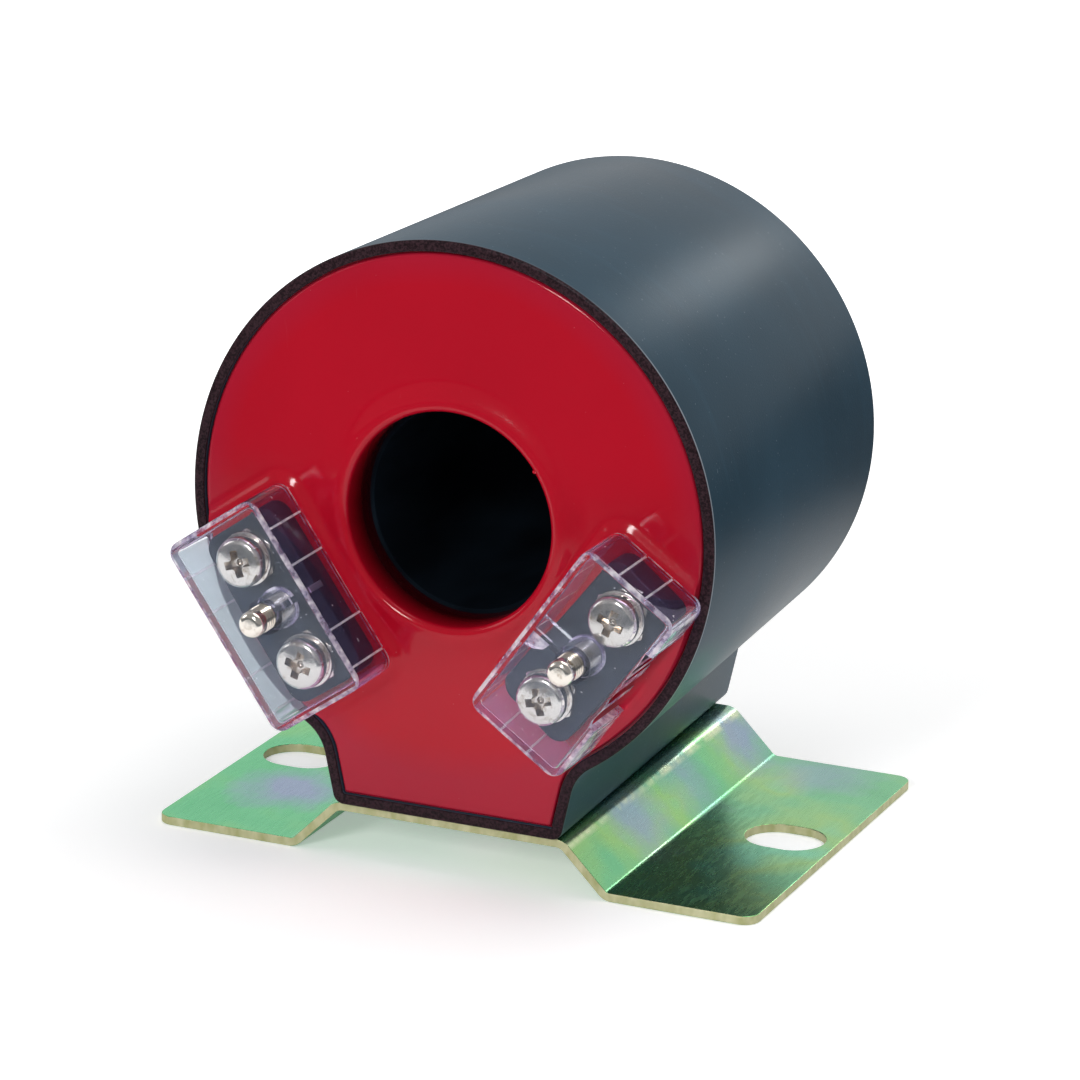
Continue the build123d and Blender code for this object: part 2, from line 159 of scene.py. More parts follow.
class Outline:
    """Outline of the case, as rings of points at any depth and inset."""

    def __init__(self, values):
        self.values = values
        self.flare = values.flare
        self.along = Vector((math.sin(self.flare), 0, math.cos(self.flare)))
        self.across = Vector((math.cos(self.flare), 0, -math.sin(self.flare)))
        self.bearings = [(point - AXIS).normalized() for point in self.trace(0, 0)]

    def trace(self, depth, inset):
        """Points at a depth behind the front plane, set in from the outer face, in Y = 0."""
        values = self.values
        slope = math.tan(self.flare)
        loss = depth * math.tan(values.draft)
        seat = SEAT_Z + inset
        half = values.pedestal_half - loss + inset * (slope - math.hypot(1, slope))
        radius = DRUM_RADIUS - loss - inset
        blend = values.pedestal_blend + inset
        corner = max(values.pedestal_corner - inset, values.wall / 4)
        foot = Vector((half, 0, seat))
        away = foot + self.across * blend - AXIS
        lean = away.dot(self.along)
        run = -lean - math.sqrt(lean ** 2 - away.length_squared + (radius + blend) ** 2)
        blend_centre = foot + self.across * blend + self.along * run
        drum_start = AXIS + (blend_centre - AXIS).normalized() * radius
        inward = corner * (math.sin(self.flare) - 1) / math.cos(self.flare)
        corner_centre = Vector((half + inward, 0, seat + corner))
        mesh = bmesh.new()
        pen = Pen(mesh, Vector((0, 0, seat)))
        pen.line(Vector((corner_centre.x, 0, seat)), 14)
        pen.arc(corner_centre, corner_centre + self.across * corner, 5)
        pen.line(foot + self.along * run, 8)
        pen.arc(blend_centre, drum_start, 8)
        pen.arc(AXIS, AXIS + Vector((0, 0, radius)), values.drum_steps // 2)
        right = [vert.co.copy() for vert in pen.verts]
        mesh.free()
        return right + [Vector((-p.x, 0, p.z)) for p in reversed(right[1:-1])]

    def at(self, depth, inset):
        """Ring of the outline at a depth behind the front plane, set in from the outer face."""
        shift = Vector((0, FRONT_Y + depth, 0))
        return [point + shift for point in self.trace(depth, inset)]

    def circle(self, depth, radius):
        """A circle about the bore axis, with a point for each point of the outline."""
        centre = AXIS + Vector((0, FRONT_Y + depth, 0))
        return [centre + bearing * radius for bearing in self.bearings]


class Pen:
    """Draws a chain of edges in X and Z from lines and arcs."""

    def __init__(self, mesh, start):
        self.mesh = mesh
        self.verts = [mesh.verts.new(start)]

    def line(self, end, steps):
        """Straight run to end."""
        start = self.verts[-1].co.copy()
        for step in range(steps):
            made = bmesh.ops.extrude_vert_indiv(self.mesh, verts=[self.verts[-1]])
            self.verts.append(made["verts"][0])
            self.verts[-1].co = start.lerp(end, (step + 1) / steps)

    def arc(self, centre, end, steps):
        """Arc about centre from the last point to end, the shorter way round."""
        first = self.verts[-1].co - centre
        last = end - centre
        turn = math.atan2(first.x * last.z - first.z * last.x, first.x * last.x + first.z * last.z)
        for _ in range(steps):
            made = bmesh.ops.spin(
                self.mesh, geom=[self.verts[-1]], cent=centre, axis=(0, -1, 0), dvec=(0, 0, 0),
                angle=turn / steps, steps=1, use_duplicate=False)
            self.verts += verts_of(made["geom_last"])


def verts_of(geom):
    """The vertices among what a bmesh operator made."""
    return [item for item in geom if isinstance(item, bmesh.types.BMVert)]


def grow(mesh, ring, places):
    """Extrudes a closed ring of vertices and moves the new ring to the given places."""
    edges = [mesh.edges.get((ring[i - 1], ring[i])) for i in range(len(ring))]
    fresh = set(verts_of(bmesh.ops.extrude_edge_only(mesh, edges=edges)["geom"]))
    new = []
    for vert in ring:
        new.append(next(e.other_vert(vert) for e in vert.link_edges if e.other_vert(vert) in fresh))
    for twin, place in zip(new, places):
        twin.co = place
    return new


def first_ring(mesh, places):
    """Closed ring of vertices and edges at the given places."""
    ring = [mesh.verts.new(place) for place in places]
    for index in range(len(ring)):
        mesh.edges.new((ring[index - 1], ring[index]))
    return ring


def closed_sweep(rings):
    """Closed surface through a cycle of rings."""
    mesh = bmesh.new()
    ring = first_ring(mesh, rings[0])
    for places in rings[1:] + rings[:1]:
        ring = grow(mesh, ring, places)
    bmesh.ops.remove_doubles(mesh, verts=mesh.verts, dist=MERGE)
    return mesh


def quarter(steps):
    """Pairs that run round a quarter circle from (0, 1) to (1, 0)."""
    turns = [math.pi / 2 * step / steps for step in range(steps + 1)]
    return [(math.sin(turn), math.cos(turn)) for turn in turns]


def frame_at(along, centre, side):
    """Frame with x along a block, y towards the bore and z out of the front."""
    inward = OUTWARD.cross(along) * SIDES[side]
    matrix = Matrix((along, inward, OUTWARD)).transposed().to_4x4()
    matrix.translation = Vector((centre.x, FRONT_Y, centre.z))
    return matrix


def block_matrix(side):
    """Frame of the pieces that are cast in, from the block's two screws."""
    upper = middle(side + "_upper_terminal_screw")
    lower = middle(side + "_lower_terminal_screw")
    return frame_at((upper - lower).normalized(), (upper + lower) / 2, side)


def cover_matrix(side):
    """Frame of a cover; both lie as the left block does, mirrored."""
    along = block_matrix("left").col[0].to_3d()
    along.x *= -SIDES[side]
    return frame_at(along, middle(side + "_cover"), side)


def add_piece(name, mesh, finish, body=BODY, replaced=(), flat_above=32):
    """Makes an object of a bmesh, gives it its finish and its body, and hides the nodes it
    replaces.
    """
    bmesh.ops.recalc_face_normals(mesh, faces=mesh.faces)
    for face in mesh.faces:
        face.smooth = True
    for edge in mesh.edges:
        edge.smooth = edge.is_manifold and edge.calc_face_angle(0) < math.radians(flat_above)
    data = bpy.data.meshes.new(name)
    mesh.to_mesh(data)
    mesh.free()
    piece = bpy.data.objects.new(name, data)
    bpy.context.scene.collection.objects.link(piece)
    data.materials.append(finish)
    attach(piece, body)
    if replaced:
        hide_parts(*replaced)
    return piece


def combine(mesh, tools):
    """The mesh after each (operation, tool mesh) in turn, by exact booleans."""
    work = bpy.data.objects.new("work", bpy.data.meshes.new("work"))
    bpy.context.scene.collection.objects.link(work)
    mesh.to_mesh(work.data)
    mesh.free()
    cutters = []
    for operation, tool in tools:
        cutter = bpy.data.objects.new("cutter", bpy.data.meshes.new("cutter"))
        bpy.context.scene.collection.objects.link(cutter)
        bmesh.ops.recalc_face_normals(tool, faces=tool.faces)
        tool.to_mesh(cutter.data)
        tool.free()
        step = work.modifiers.new("cut", "BOOLEAN")
        step.operation = operation
        step.solver = "EXACT"
        step.object = cutter
        cutters.append(cutter)
    depsgraph = bpy.context.evaluated_depsgraph_get()
    result = bmesh.new()
    result.from_object(work, depsgraph)
    for leftover in [work] + cutters:
        data = leftover.data
        bpy.data.objects.remove(leftover)
        bpy.data.meshes.remove(data)
    return result


def bisect(mesh, geom, place, facing):
    """Splits the faces among geom along a plane."""
    bmesh.ops.bisect_plane(mesh, geom=geom, plane_co=place, plane_no=facing, dist=MERGE)


def bevel(mesh, geom, width, segments, affect="EDGES", **more):
    """Round bevel of the given edges or vertices."""
    bmesh.ops.bevel(
        mesh, geom=geom, offset=width, offset_type="OFFSET", affect=affect, segments=segments,
        profile=0.5, material=-1, **more)


def edges_above(mesh, height):
    """The edges that lie wholly above a height, less a hair."""
    return [e for e in mesh.edges if all(v.co.z > height - HAIR for v in e.verts)]


def raise_faces(mesh, rise):
    """Extrudes all faces and lifts the new ones."""
    tops = verts_of(bmesh.ops.extrude_face_region(mesh, geom=mesh.faces[:])["geom"])
    bmesh.ops.translate(mesh, vec=(0, 0, rise), verts=tops)


def turning_edges(mesh, angle):
    """The edges whose two faces turn by more than an angle."""
    return [e for e in mesh.edges if e.is_manifold and e.calc_face_angle(0) > angle]


def soften(mesh, width):
    """Bevels every sharp edge."""
    bevel(mesh, turning_edges(mesh, math.radians(40)), width, 2, clamp_overlap=True)


def rounded_plate(length, width, corner, low, high, steps=6):
    """Block with rounded upright corners between two heights."""
    mesh = bmesh.new()
    bmesh.ops.create_grid(mesh, x_segments=1, y_segments=1, size=0.5)
    bmesh.ops.scale(mesh, vec=(length, width, 1), verts=mesh.verts)
    bmesh.ops.translate(mesh, vec=(0, 0, low), verts=mesh.verts)
    bevel(mesh, mesh.verts[:], corner, steps, "VERTICES")
    raise_faces(mesh, high - low)
    bmesh.ops.recalc_face_normals(mesh, faces=mesh.faces)
    return mesh


def lathe(profile, steps=64, closed=False):
    """Solid turned about the z axis from (radius, height) pairs."""
    mesh = bmesh.new()
    verts = [mesh.verts.new((radius, 0, height)) for radius, height in profile]
    pairs = list(zip(verts, verts[1:])) + ([(verts[-1], verts[0])] if closed else [])
    edges = [mesh.edges.new(pair) for pair in pairs]
    bmesh.ops.spin(
        mesh, geom=verts + edges, cent=(0, 0, 0), axis=(0, 0, 1), dvec=(0, 0, 0),
        angle=math.tau, steps=steps, use_merge=True, use_duplicate=False)
    bmesh.ops.remove_doubles(mesh, verts=mesh.verts, dist=MERGE)
    return mesh


def tube(outer, inner, low, high, steps=64):
    """Plain ring between two heights."""
    return lathe([(inner, low), (outer, low), (outer, high), (inner, high)], steps, closed=True)


def rod(radius, low, high, steps=48):
    """Plain cylinder between two heights."""
    return lathe([(0, low), (radius, low), (radius, high), (0, high)], steps)


def block_of(low, high):
    """Box between two corners."""
    mesh = bmesh.new()
    bmesh.ops.create_cube(mesh, size=1)
    low, high = Vector(low), Vector(high)
    bmesh.ops.scale(mesh, vec=high - low, verts=mesh.verts)
    bmesh.ops.translate(mesh, vec=(low + high) / 2, verts=mesh.verts)
    return mesh


def moved(mesh, matrix):
    """The mesh after a transform."""
    bmesh.ops.transform(mesh, matrix=matrix, verts=mesh.verts)
    return mesh


class Graph:
    """Short way to lay out the nodes of a material or a world."""

    def __init__(self, name, kind="Material"):
        library = bpy.data.worlds if kind == "World" else bpy.data.materials
        self.owner = library.new(name)
        self.owner.use_nodes = True
        self.tree = self.owner.node_tree
        self.tree.nodes.clear()
        self.output = self.tree.nodes.new("ShaderNodeOutput" + kind)
        self.place = self.tree.nodes.new("ShaderNodeTexCoord").outputs["Object"]

    def feed(self, socket, value):
        """Joins an input to another node's socket, or sets its value."""
        if isinstance(value, bpy.types.NodeSocket):
            self.tree.links.new(value, socket)
        else:
            socket.default_value = value

    def node(self, kind, inputs=(), **settings):
        """A node with its settings, and its inputs by name as values or sockets."""
        made = self.tree.nodes.new(kind)
        for name, value in settings.items():
            setattr(made, name, value)
        for name, value in dict(inputs).items():
            self.feed(made.inputs[name], value)
        return made

    def mapping(self, scale, turn=(0, 0, 0)):
        """Object coordinates, scaled and turned."""
        inputs = {"Vector": self.place, "Scale": scale, "Rotation": turn}
        return self.node("ShaderNodeMapping", inputs).outputs["Vector"]

    def noise(self, scale, detail=3.0, roughness=0.5, vector=None):
        """Noise value from 0 to 1."""
        inputs = {"Vector": vector or self.place, "Scale": scale, "Detail": detail,
                  "Roughness": roughness}
        return self.node("ShaderNodeTexNoise", inputs).outputs["Fac"]

    def ramp(self, value, stops):
        """Colour ramp over a value, from (position, colour) stops."""
        made = self.node("ShaderNodeValToRGB", {"Fac": value})
        ramp = made.color_ramp
        while len(ramp.elements) < len(stops):
            ramp.elements.new(0.5)
        for element, (position, colour) in zip(ramp.elements, stops):
            element.position = position
            element.color = (*colour, 1)
        return made.outputs["Color"]

    def span(self, value, low, high, start=0.0, end=1.0):
        """Maps low to start and high to end, clamped."""
        inputs = {"Value": value, "From Min": low, "From Max": high, "To Min": start, "To Max": end}
        return self.node("ShaderNodeMapRange", inputs).outputs["Result"]

    def math(self, operation, first, second=0.0):
        """Arithmetic on two values."""
        made = self.node("ShaderNodeMath", operation=operation)
        for socket, value in zip(made.inputs, (first, second)):
            self.feed(socket, value)
        return made.outputs[0]

    def times(self, first, second):
        """Product of two values."""
        return self.math("MULTIPLY", first, second)

    def mix(self, factor, first, second):
        """Blend of two colours."""
        made = self.node("ShaderNodeMix", data_type="RGBA")
        self.feed(next(s for s in made.inputs if s.name == "Factor" and s.type == "VALUE"), factor)
        for name, value in (("A", first), ("B", second)):
            joined = isinstance(value, bpy.types.NodeSocket)
            socket = next(s for s in made.inputs if s.name == name and s.type == "RGBA")
            self.feed(socket, value if joined else (*value[:3], 1))
        return next(s for s in made.outputs if s.type == "RGBA")

    def bump(self, height, strength, distance):
        """Normal from a height."""
        inputs = {"Height": height, "Strength": strength, "Distance": distance}
        return self.node("ShaderNodeBump", inputs).outputs["Normal"]

    def surface(self, **inputs):
        """Principled surface joined to the output, with inputs by name."""
        shader = self.node("ShaderNodeBsdfPrincipled", {
            name.replace("_", " ").title().replace("Ior", "IOR"): value
            for name, value in inputs.items()})
        self.tree.links.new(shader.outputs[0], self.output.inputs["Surface"])
        return shader


def rgba(colour, factor=1):
    """Colour property as four numbers, lighter or darker by a factor."""
    return (*(channel * factor for channel in tuple(colour)[:3]), 1)


def along_axis(graph, axis):
    """One coordinate of the piece, in metres."""
    split = graph.node("ShaderNodeSeparateXYZ", {"Vector": graph.place})
    return split.outputs[axis]


def length_of(graph, vector):
    """Length of a vector."""
    return graph.node("ShaderNodeVectorMath", {0: vector}, operation="LENGTH").outputs["Value"]


def from_bore(graph):
    """Distance of a point from the bore's axis, in metres."""
    split = graph.node("ShaderNodeSeparateXYZ", {"Vector": graph.place})
    rise = graph.math("SUBTRACT", split.outputs["Z"], AXIS.z)
    flat = graph.node("ShaderNodeCombineXYZ", {"X": split.outputs["X"], "Z": rise})
    return length_of(graph, flat.outputs[0])


def case_finish():
    """Dark blue moulding, satin and finely grained, with pale specks, a brown-black rim and a
    painted highlight on its outer edge.
    """
    graph = Graph("case_moulding")
    cloud = graph.noise(18, 3)
    base = colours().case
    tint = graph.mix(graph.span(cloud, 0.35, 0.7), rgba(base, 0.8), rgba(base, 1.25))
    streak = graph.noise(500, 4, 0.65, graph.mapping((1, 0.05, 1)))
    smear = graph.noise(60, 3, 0.6, graph.mapping((1, 4, 0.25)))
    tint = graph.mix(graph.span(smear, 0.55, 0.75, 0, 0.35), tint, (0.035, 0.085, 0.13))
    grain = graph.noise(2600, 2, 0.6)
    # Pale specks: dust, and painted sparkle of the grain.
    specks = graph.span(graph.noise(2100, 0), 0.82, 0.86)
    tint = graph.mix(graph.times(specks, 0.3), tint, (0.3, 0.38, 0.46))
    depth = along_axis(graph, "Y")
    rim = graph.span(depth, FRONT_Y + 0.3 * MM, FRONT_Y + 0.5 * MM, 1, 0)
    mottled = graph.mix(graph.span(grain, 0.4, 0.6), (0.014, 0.007, 0.009), (0.045, 0.022, 0.028))
    tint = graph.mix(rim, tint, mottled)
    # Painted highlight: a pale grey line on the rim's outer edge, strongest towards the right side.
    edge = graph.span(depth, FRONT_Y + 0.85 * MM, FRONT_Y + 0.55 * MM, 0, 1)
    painted_edge_highlight = graph.times(edge, graph.math("SUBTRACT", 1.0, rim))
    right = graph.span(along_axis(graph, "X"), 25 * MM, 42 * MM, 0.1, 0.8)
    tint = graph.mix(graph.times(painted_edge_highlight, right), tint, (0.42, 0.46, 0.52))
    height = graph.math("ADD", graph.times(streak, 0.5), graph.times(grain, 0.8))
    graph.surface(
        base_color=tint, roughness=graph.span(cloud, 0.3, 0.7, 0.3, 0.38), specular_ior_level=0.09,
        specular_tint=(0.8, 0.93, 1, 1), normal=graph.bump(height, 1.0, 0.00003))
    return graph.owner


def bore_finish():
    """Near-black inside of the bore tube, without gloss: painted shade, with faint navy patches as
    painted reflection.
    """
    graph = Graph("bore_wall")
    cloud = graph.noise(45, 3, 0.6, graph.mapping((1, 0.3, 1)))
    # Painted reflection: faint navy patches stand in for the gloss that is turned off; the
    # near-black base is painted shade.
    painted_reflection_patches = graph.span(cloud, 0.4, 0.65)
    graph.surface(
        base_color=graph.mix(painted_reflection_patches, (0.003, 0.004, 0.006), (0.008, 0.014, 0.021)), roughness=0.6,
        specular_ior_level=0.0, normal=graph.bump(cloud, 0.3, 0.0004))
    return graph.owner


def resin_finish():
    """Glossy red casting resin with faint waves, fine scratches, a little dust, a mauve band at its
    outer edge and painted shade deep in the bore.
    """
    graph = Graph("red_casting_resin")
    base = colours().resin
    cloud = graph.noise(26, 2)
    tint = graph.mix(graph.span(cloud, 0.3, 0.7), rgba(base, 0.95), rgba(base, 1.05))
    # Mauve band: the resin turns darker mauve towards the case wall.
    outer = graph.math("ADD", from_bore(graph), graph.times(cloud, 6 * MM))
    outer_mauve_band = graph.span(outer, DRUM_RADIUS - 5 * MM, DRUM_RADIUS + 1 * MM, 0, 0.3)
    tint = graph.mix(outer_mauve_band, tint, (0.3, 0.02, 0.06))
    # Painted shade: the resin darkens to near black deeper into the bore.
    inside = graph.span(from_bore(graph), BORE_RADIUS + 2 * MM, BORE_RADIUS + 1.2 * MM)
    painted_bore_shade = graph.span(along_axis(graph, "Y"), FRONT_Y, FRONT_Y + 6 * MM, 0, 0.93)
    tint = graph.mix(graph.times(inside, painted_bore_shade), tint, (0.01, 0.001, 0.002))
    specks = graph.span(graph.noise(1500, 1, 0.5), 0.78, 0.82)
    drawn_out = graph.mapping((1, 1, 0.12), (0, 0.5, 0))
    scratches = graph.span(graph.noise(420, 2, 0.6, drawn_out), 0.72, 0.8)
    dust = graph.math("MAXIMUM", graph.times(specks, 0.8), graph.times(scratches, 0.3))
    dusted = graph.mix(graph.times(dust, 0.25), tint, (0.7, 0.35, 0.36))
    wave = graph.noise(60, 2)
    pores = graph.noise(1700, 2)
    height = graph.math("ADD", wave, graph.times(pores, 0.08))
    graph.surface(
        base_color=dusted, roughness=graph.span(pores, 0.3, 0.7, 0.08, 0.14),
        specular_ior_level=0.3, normal=graph.bump(height, 0.25, 0.00015))
    return graph.owner


# Centre and radius in millimetres, and depth of colour, of each stain on the bracket.
STAINS = (
    ((-43, -17, 1.6), 10, 0.9),
    ((25, -15, 7), 9, 0.7),
    ((25, 8, 7), 8, 0.55),
    ((25.5, 34, 7), 9, 0.8),
    ((43, 34, 1.6), 10, 0.5),
    ((-40, 22, 1.6), 12, 0.6),
)


def chromate_finish():
    """Yellow-green iridescent chromate on bright steel, with lilac stains and a painted highlight
    along the bends.
    """
    graph = Graph("green_chromate")
    base = rgba(colours().chromate)
    drift = graph.noise(30, 3, 0.55)
    green = graph.ramp(drift, [
        (0.3, (0.12, 0.42, 0.2)), (0.46, base[:3]), (0.58, (0.3, 0.56, 0.2)),
        (0.7, (0.2, 0.6, 0.36))])
    across = along_axis(graph, "X")
    green = graph.mix(graph.span(across, 5 * MM, -5 * MM, 0, 0.45), green, (0.05, 0.56, 0.22))
    ragged = graph.noise(130, 3, 0.6)
    stain = 0.0
    for centre, radius, depth in STAINS:
        ends = {0: graph.place, 1: Vector(centre) * MM}
        apart = graph.node("ShaderNodeVectorMath", ends, operation="DISTANCE")
        blurred = graph.math("ADD", apart.outputs["Value"], graph.times(ragged, 0.012))
        patch = graph.span(blurred, (radius + 9) * MM, (radius - 1) * MM, 0, depth)
        stain = graph.math("MAXIMUM", patch, stain)
    tint = graph.mix(stain, green, (0.3, 0.34, 0.53))
    grain = graph.noise(1400, 2, 0.6, graph.mapping((1, 0.15, 1)))
    # Painted highlight: a broken pale line along both bends, on both faces of the sheet.
    off = graph.math("ABSOLUTE", graph.math("SUBTRACT", graph.math("ABSOLUTE", across), 23.2 * MM))
    ridge = graph.times(graph.span(off, 0.3 * MM, 0.9 * MM, 1, 0), graph.span(ragged, 0.4, 0.6))
    tint = graph.mix(graph.times(ridge, 0.7), tint, (0.8, 0.84, 0.56))
    graph.surface(
        base_color=tint, metallic=1.0, roughness=graph.span(grain, 0.3, 0.7, 0.2, 0.32),
        normal=graph.bump(grain, 0.1, 0.00002))
    return graph.owner


def cut_edge_finish():
    """Sheared edge of the sheet, pale and matt, with an olive line."""
    graph = Graph("sheared_edge")
    grain = graph.noise(420, 2, 0.6, graph.mapping((1, 1, 0.5)))
    tint = graph.mix(graph.span(grain, 0.35, 0.65), (0.46, 0.47, 0.22), (0.66, 0.65, 0.4))
    graph.surface(
        base_color=tint, metallic=0.3, roughness=graph.span(grain, 0.3, 0.7, 0.45, 0.6),
        normal=graph.bump(grain, 0.15, 0.00005))
    return graph.owner


def nickel_finish():
    """Bright nickel plate with brownish stains, and brown shade painted into its hollows."""
    graph = Graph("bright_nickel")
    base = rgba(colours().nickel)
    stain = graph.noise(520, 3, 0.6)
    # Painted shade: brown where ambient occlusion finds hollows and gaps, broken up by the stain
    # noise.
    open_sky = graph.node(
        "ShaderNodeAmbientOcclusion", {"Distance": 1.6 * MM}, only_local=True).outputs["AO"]
    painted_hollow_shade = graph.span(graph.math("SUBTRACT", open_sky, graph.times(stain, 0.3)), 0.25, 0.7, 0.8, 0)
    tint = graph.mix(graph.span(stain, 0.55, 0.75), base, (0.5, 0.4, 0.29))
    tint = graph.mix(painted_hollow_shade, tint, (0.26, 0.17, 0.09))
    scuff = graph.noise(1500, 2)
    graph.surface(
        base_color=tint, metallic=1.0, roughness=graph.span(stain, 0.35, 0.75, 0.1, 0.26),
        normal=graph.bump(scuff, 0.25, 0.00004))
    return graph.owner


def base_finish():
    """Dark slate moulding of the terminal bases, with dust."""
    graph = Graph("terminal_base_moulding")
    dust = graph.span(graph.noise(1900, 1, 0.6), 0.7, 0.76)
    cloud = graph.noise(90, 2)
    dark = graph.mix(cloud, (0.012, 0.021, 0.034), (0.022, 0.035, 0.053))
    tint = graph.mix(graph.times(dust, 0.35), dark, (0.4, 0.42, 0.46))
    graph.surface(
        base_color=tint, roughness=graph.span(cloud, 0.3, 0.7, 0.34, 0.5), specular_ior_level=0.3,
        normal=graph.bump(graph.noise(1500, 2), 0.1, 0.00004))
    return graph.owner


def shadow_free(graph, shader, tone):
    """Lets light through the piece in a tone, instead of a full shadow."""
    clear = graph.node("ShaderNodeBsdfTransparent", {"Color": tone})
    path = graph.node("ShaderNodeLightPath")
    mixed = graph.node("ShaderNodeMixShader", {"Fac": path.outputs["Is Shadow Ray"]})
    graph.tree.links.new(shader.outputs[0], mixed.inputs[1])
    graph.tree.links.new(clear.outputs[0], mixed.inputs[2])
    graph.tree.links.new(mixed.outputs[0], graph.output.inputs["Surface"])


def clear_finish():
    """Clear moulded plastic, a little wavy, scuffed and dusty."""
    graph = Graph("clear_cover")
    dust = graph.span(graph.noise(2300, 1), 0.76, 0.8)
    shader = graph.surface(
        base_color=graph.mix(dust, (0.88, 0.9, 0.94), (1, 1, 1)), specular_tint=(0.4, 0.5, 0.75, 1),
        roughness=graph.span(graph.noise(300, 3), 0.6, 0.8, 0.0, 0.1), ior=1.4,
        transmission_weight=graph.span(dust, 0, 1, 0.97, 0.4),
        normal=graph.bump(graph.noise(140, 1), 0.04, 0.0001))
    shadow_free(graph, shader, (0.9, 0.89, 0.94, 1))
    return graph.owner


def side_wall_finish(name, tone, clarity):
    """Side wall of the clear plastic, with a tone painted on for the shade or light that it shows,
    and painted glints.
    """
    graph = Graph(name)
    glint = graph.span(graph.noise(330, 3, 0.7), 0.68, 0.73)
    shader = graph.surface(
        base_color=graph.mix(glint, tone, (0.97, 0.93, 1.0)), roughness=0.05, ior=1.4,
        specular_tint=(0.4, 0.4, 0.7, 1), transmission_weight=graph.span(glint, 0, 1, clarity, 0.3),
        normal=graph.bump(graph.noise(140, 1), 0.04, 0.0001))
    shadow_free(graph, shader, (0.85, 0.82, 0.9, 1))
    return graph.owner


def moulded_edge_finish():
    """Rounded edge of the clear plastic, which gathers the light in a lilac-white line."""
    graph = Graph("clear_cover_edge")
    tone = graph.noise(330, 3, 0.65)
    shader = graph.surface(
        base_color=graph.mix(graph.span(tone, 0.38, 0.62), (0.5, 0.4, 0.72), (0.97, 0.94, 1.0)),
        roughness=0.2, ior=1.45, transmission_weight=graph.span(tone, 0.38, 0.62, 0.85, 0.35),
        normal=graph.bump(tone, 0.4, 0.0001))
    shadow_free(graph, shader, (0.85, 0.84, 0.9, 1))
    return graph.owner


def score_finish():
    """Crazed white line left by a break-out score."""
    graph = Graph("score_line")
    dots = graph.span(graph.noise(2400, 1), 0.42, 0.56)
    shader = graph.surface(
        base_color=graph.mix(dots, (0.8, 0.78, 0.9), (1, 1, 1)), roughness=0.35, ior=1.45,
        transmission_weight=graph.span(dots, 0, 1, 0.85, 0.05))
    shadow_free(graph, shader, (0.9, 0.9, 0.93, 1))
    return graph.owner


def plain_finish(name, light, dark, scale, **inputs):
    """Two close tones in a fine pattern, for pieces inside the case."""
    graph = Graph(name)
    tone = graph.noise(scale, 3, 0.6, graph.mapping((1, 0.2, 1)))
    graph.surface(
        base_color=graph.mix(tone, dark, light), normal=graph.bump(tone, 0.2, 0.0001), **inputs)
    return graph.owner


class TRANSFORMER_OT_case(bpy.types.Operator):
    """Moulded case: drum, flared pedestal, rim and bore tube"""

    bl_idname = "transformer.case"
    bl_label = "Case"

    def execute(self, context):
        values = sizes()
        outline = Outline(values)
        depth = REAR_Y - FRONT_Y
        wall, inner_rear = values.wall, depth - REAR_WALL
        tube_radius = BORE_RADIUS + BORE_WALL
        rim, inner_rim, rear_round = 0.5 * MM, 0.15 * MM, 1.5 * MM
        mouth, exit_round = 0.3 * MM, 0.4 * MM
        rings = []
        for out, down in quarter(4):
            rings.append(outline.at(rim * (1 - out), rim * (1 - down)))
        for out, down in quarter(3):
            rings.append(outline.at(inner_rim * (1 - down), wall - inner_rim * (1 - out)))
        rings.append(outline.at(inner_rear, wall))
        rings.append(outline.circle(inner_rear, tube_radius))
        rings.append(outline.circle(values.tube_setback, tube_radius))
        for out, down in quarter(4):
            rings.append(outline.circle(
                values.tube_setback + mouth * (1 - down), BORE_RADIUS + mouth * (1 - out)))
        for out, down in quarter(4):
            rings.append(outline.circle(
                depth - exit_round * (1 - out), BORE_RADIUS + exit_round * (1 - down)))
        for out, down in quarter(5):
            rings.append(outline.at(depth - rear_round * (1 - down), rear_round * (1 - out)))
        piece = add_piece(
            "moulded_case", closed_sweep(rings), case_finish(),
            replaced=["housing_shell"], flat_above=40)
        # The bore's faces take the bore finish: painted shade and painted reflection.
        piece.data.materials.append(bore_finish())
        for face in piece.data.polygons:
            if math.hypot(face.center.x, face.center.z - AXIS.z) < BORE_RADIUS + 1.6 * MM:
                face.material_index = 1
        return {"FINISHED"}


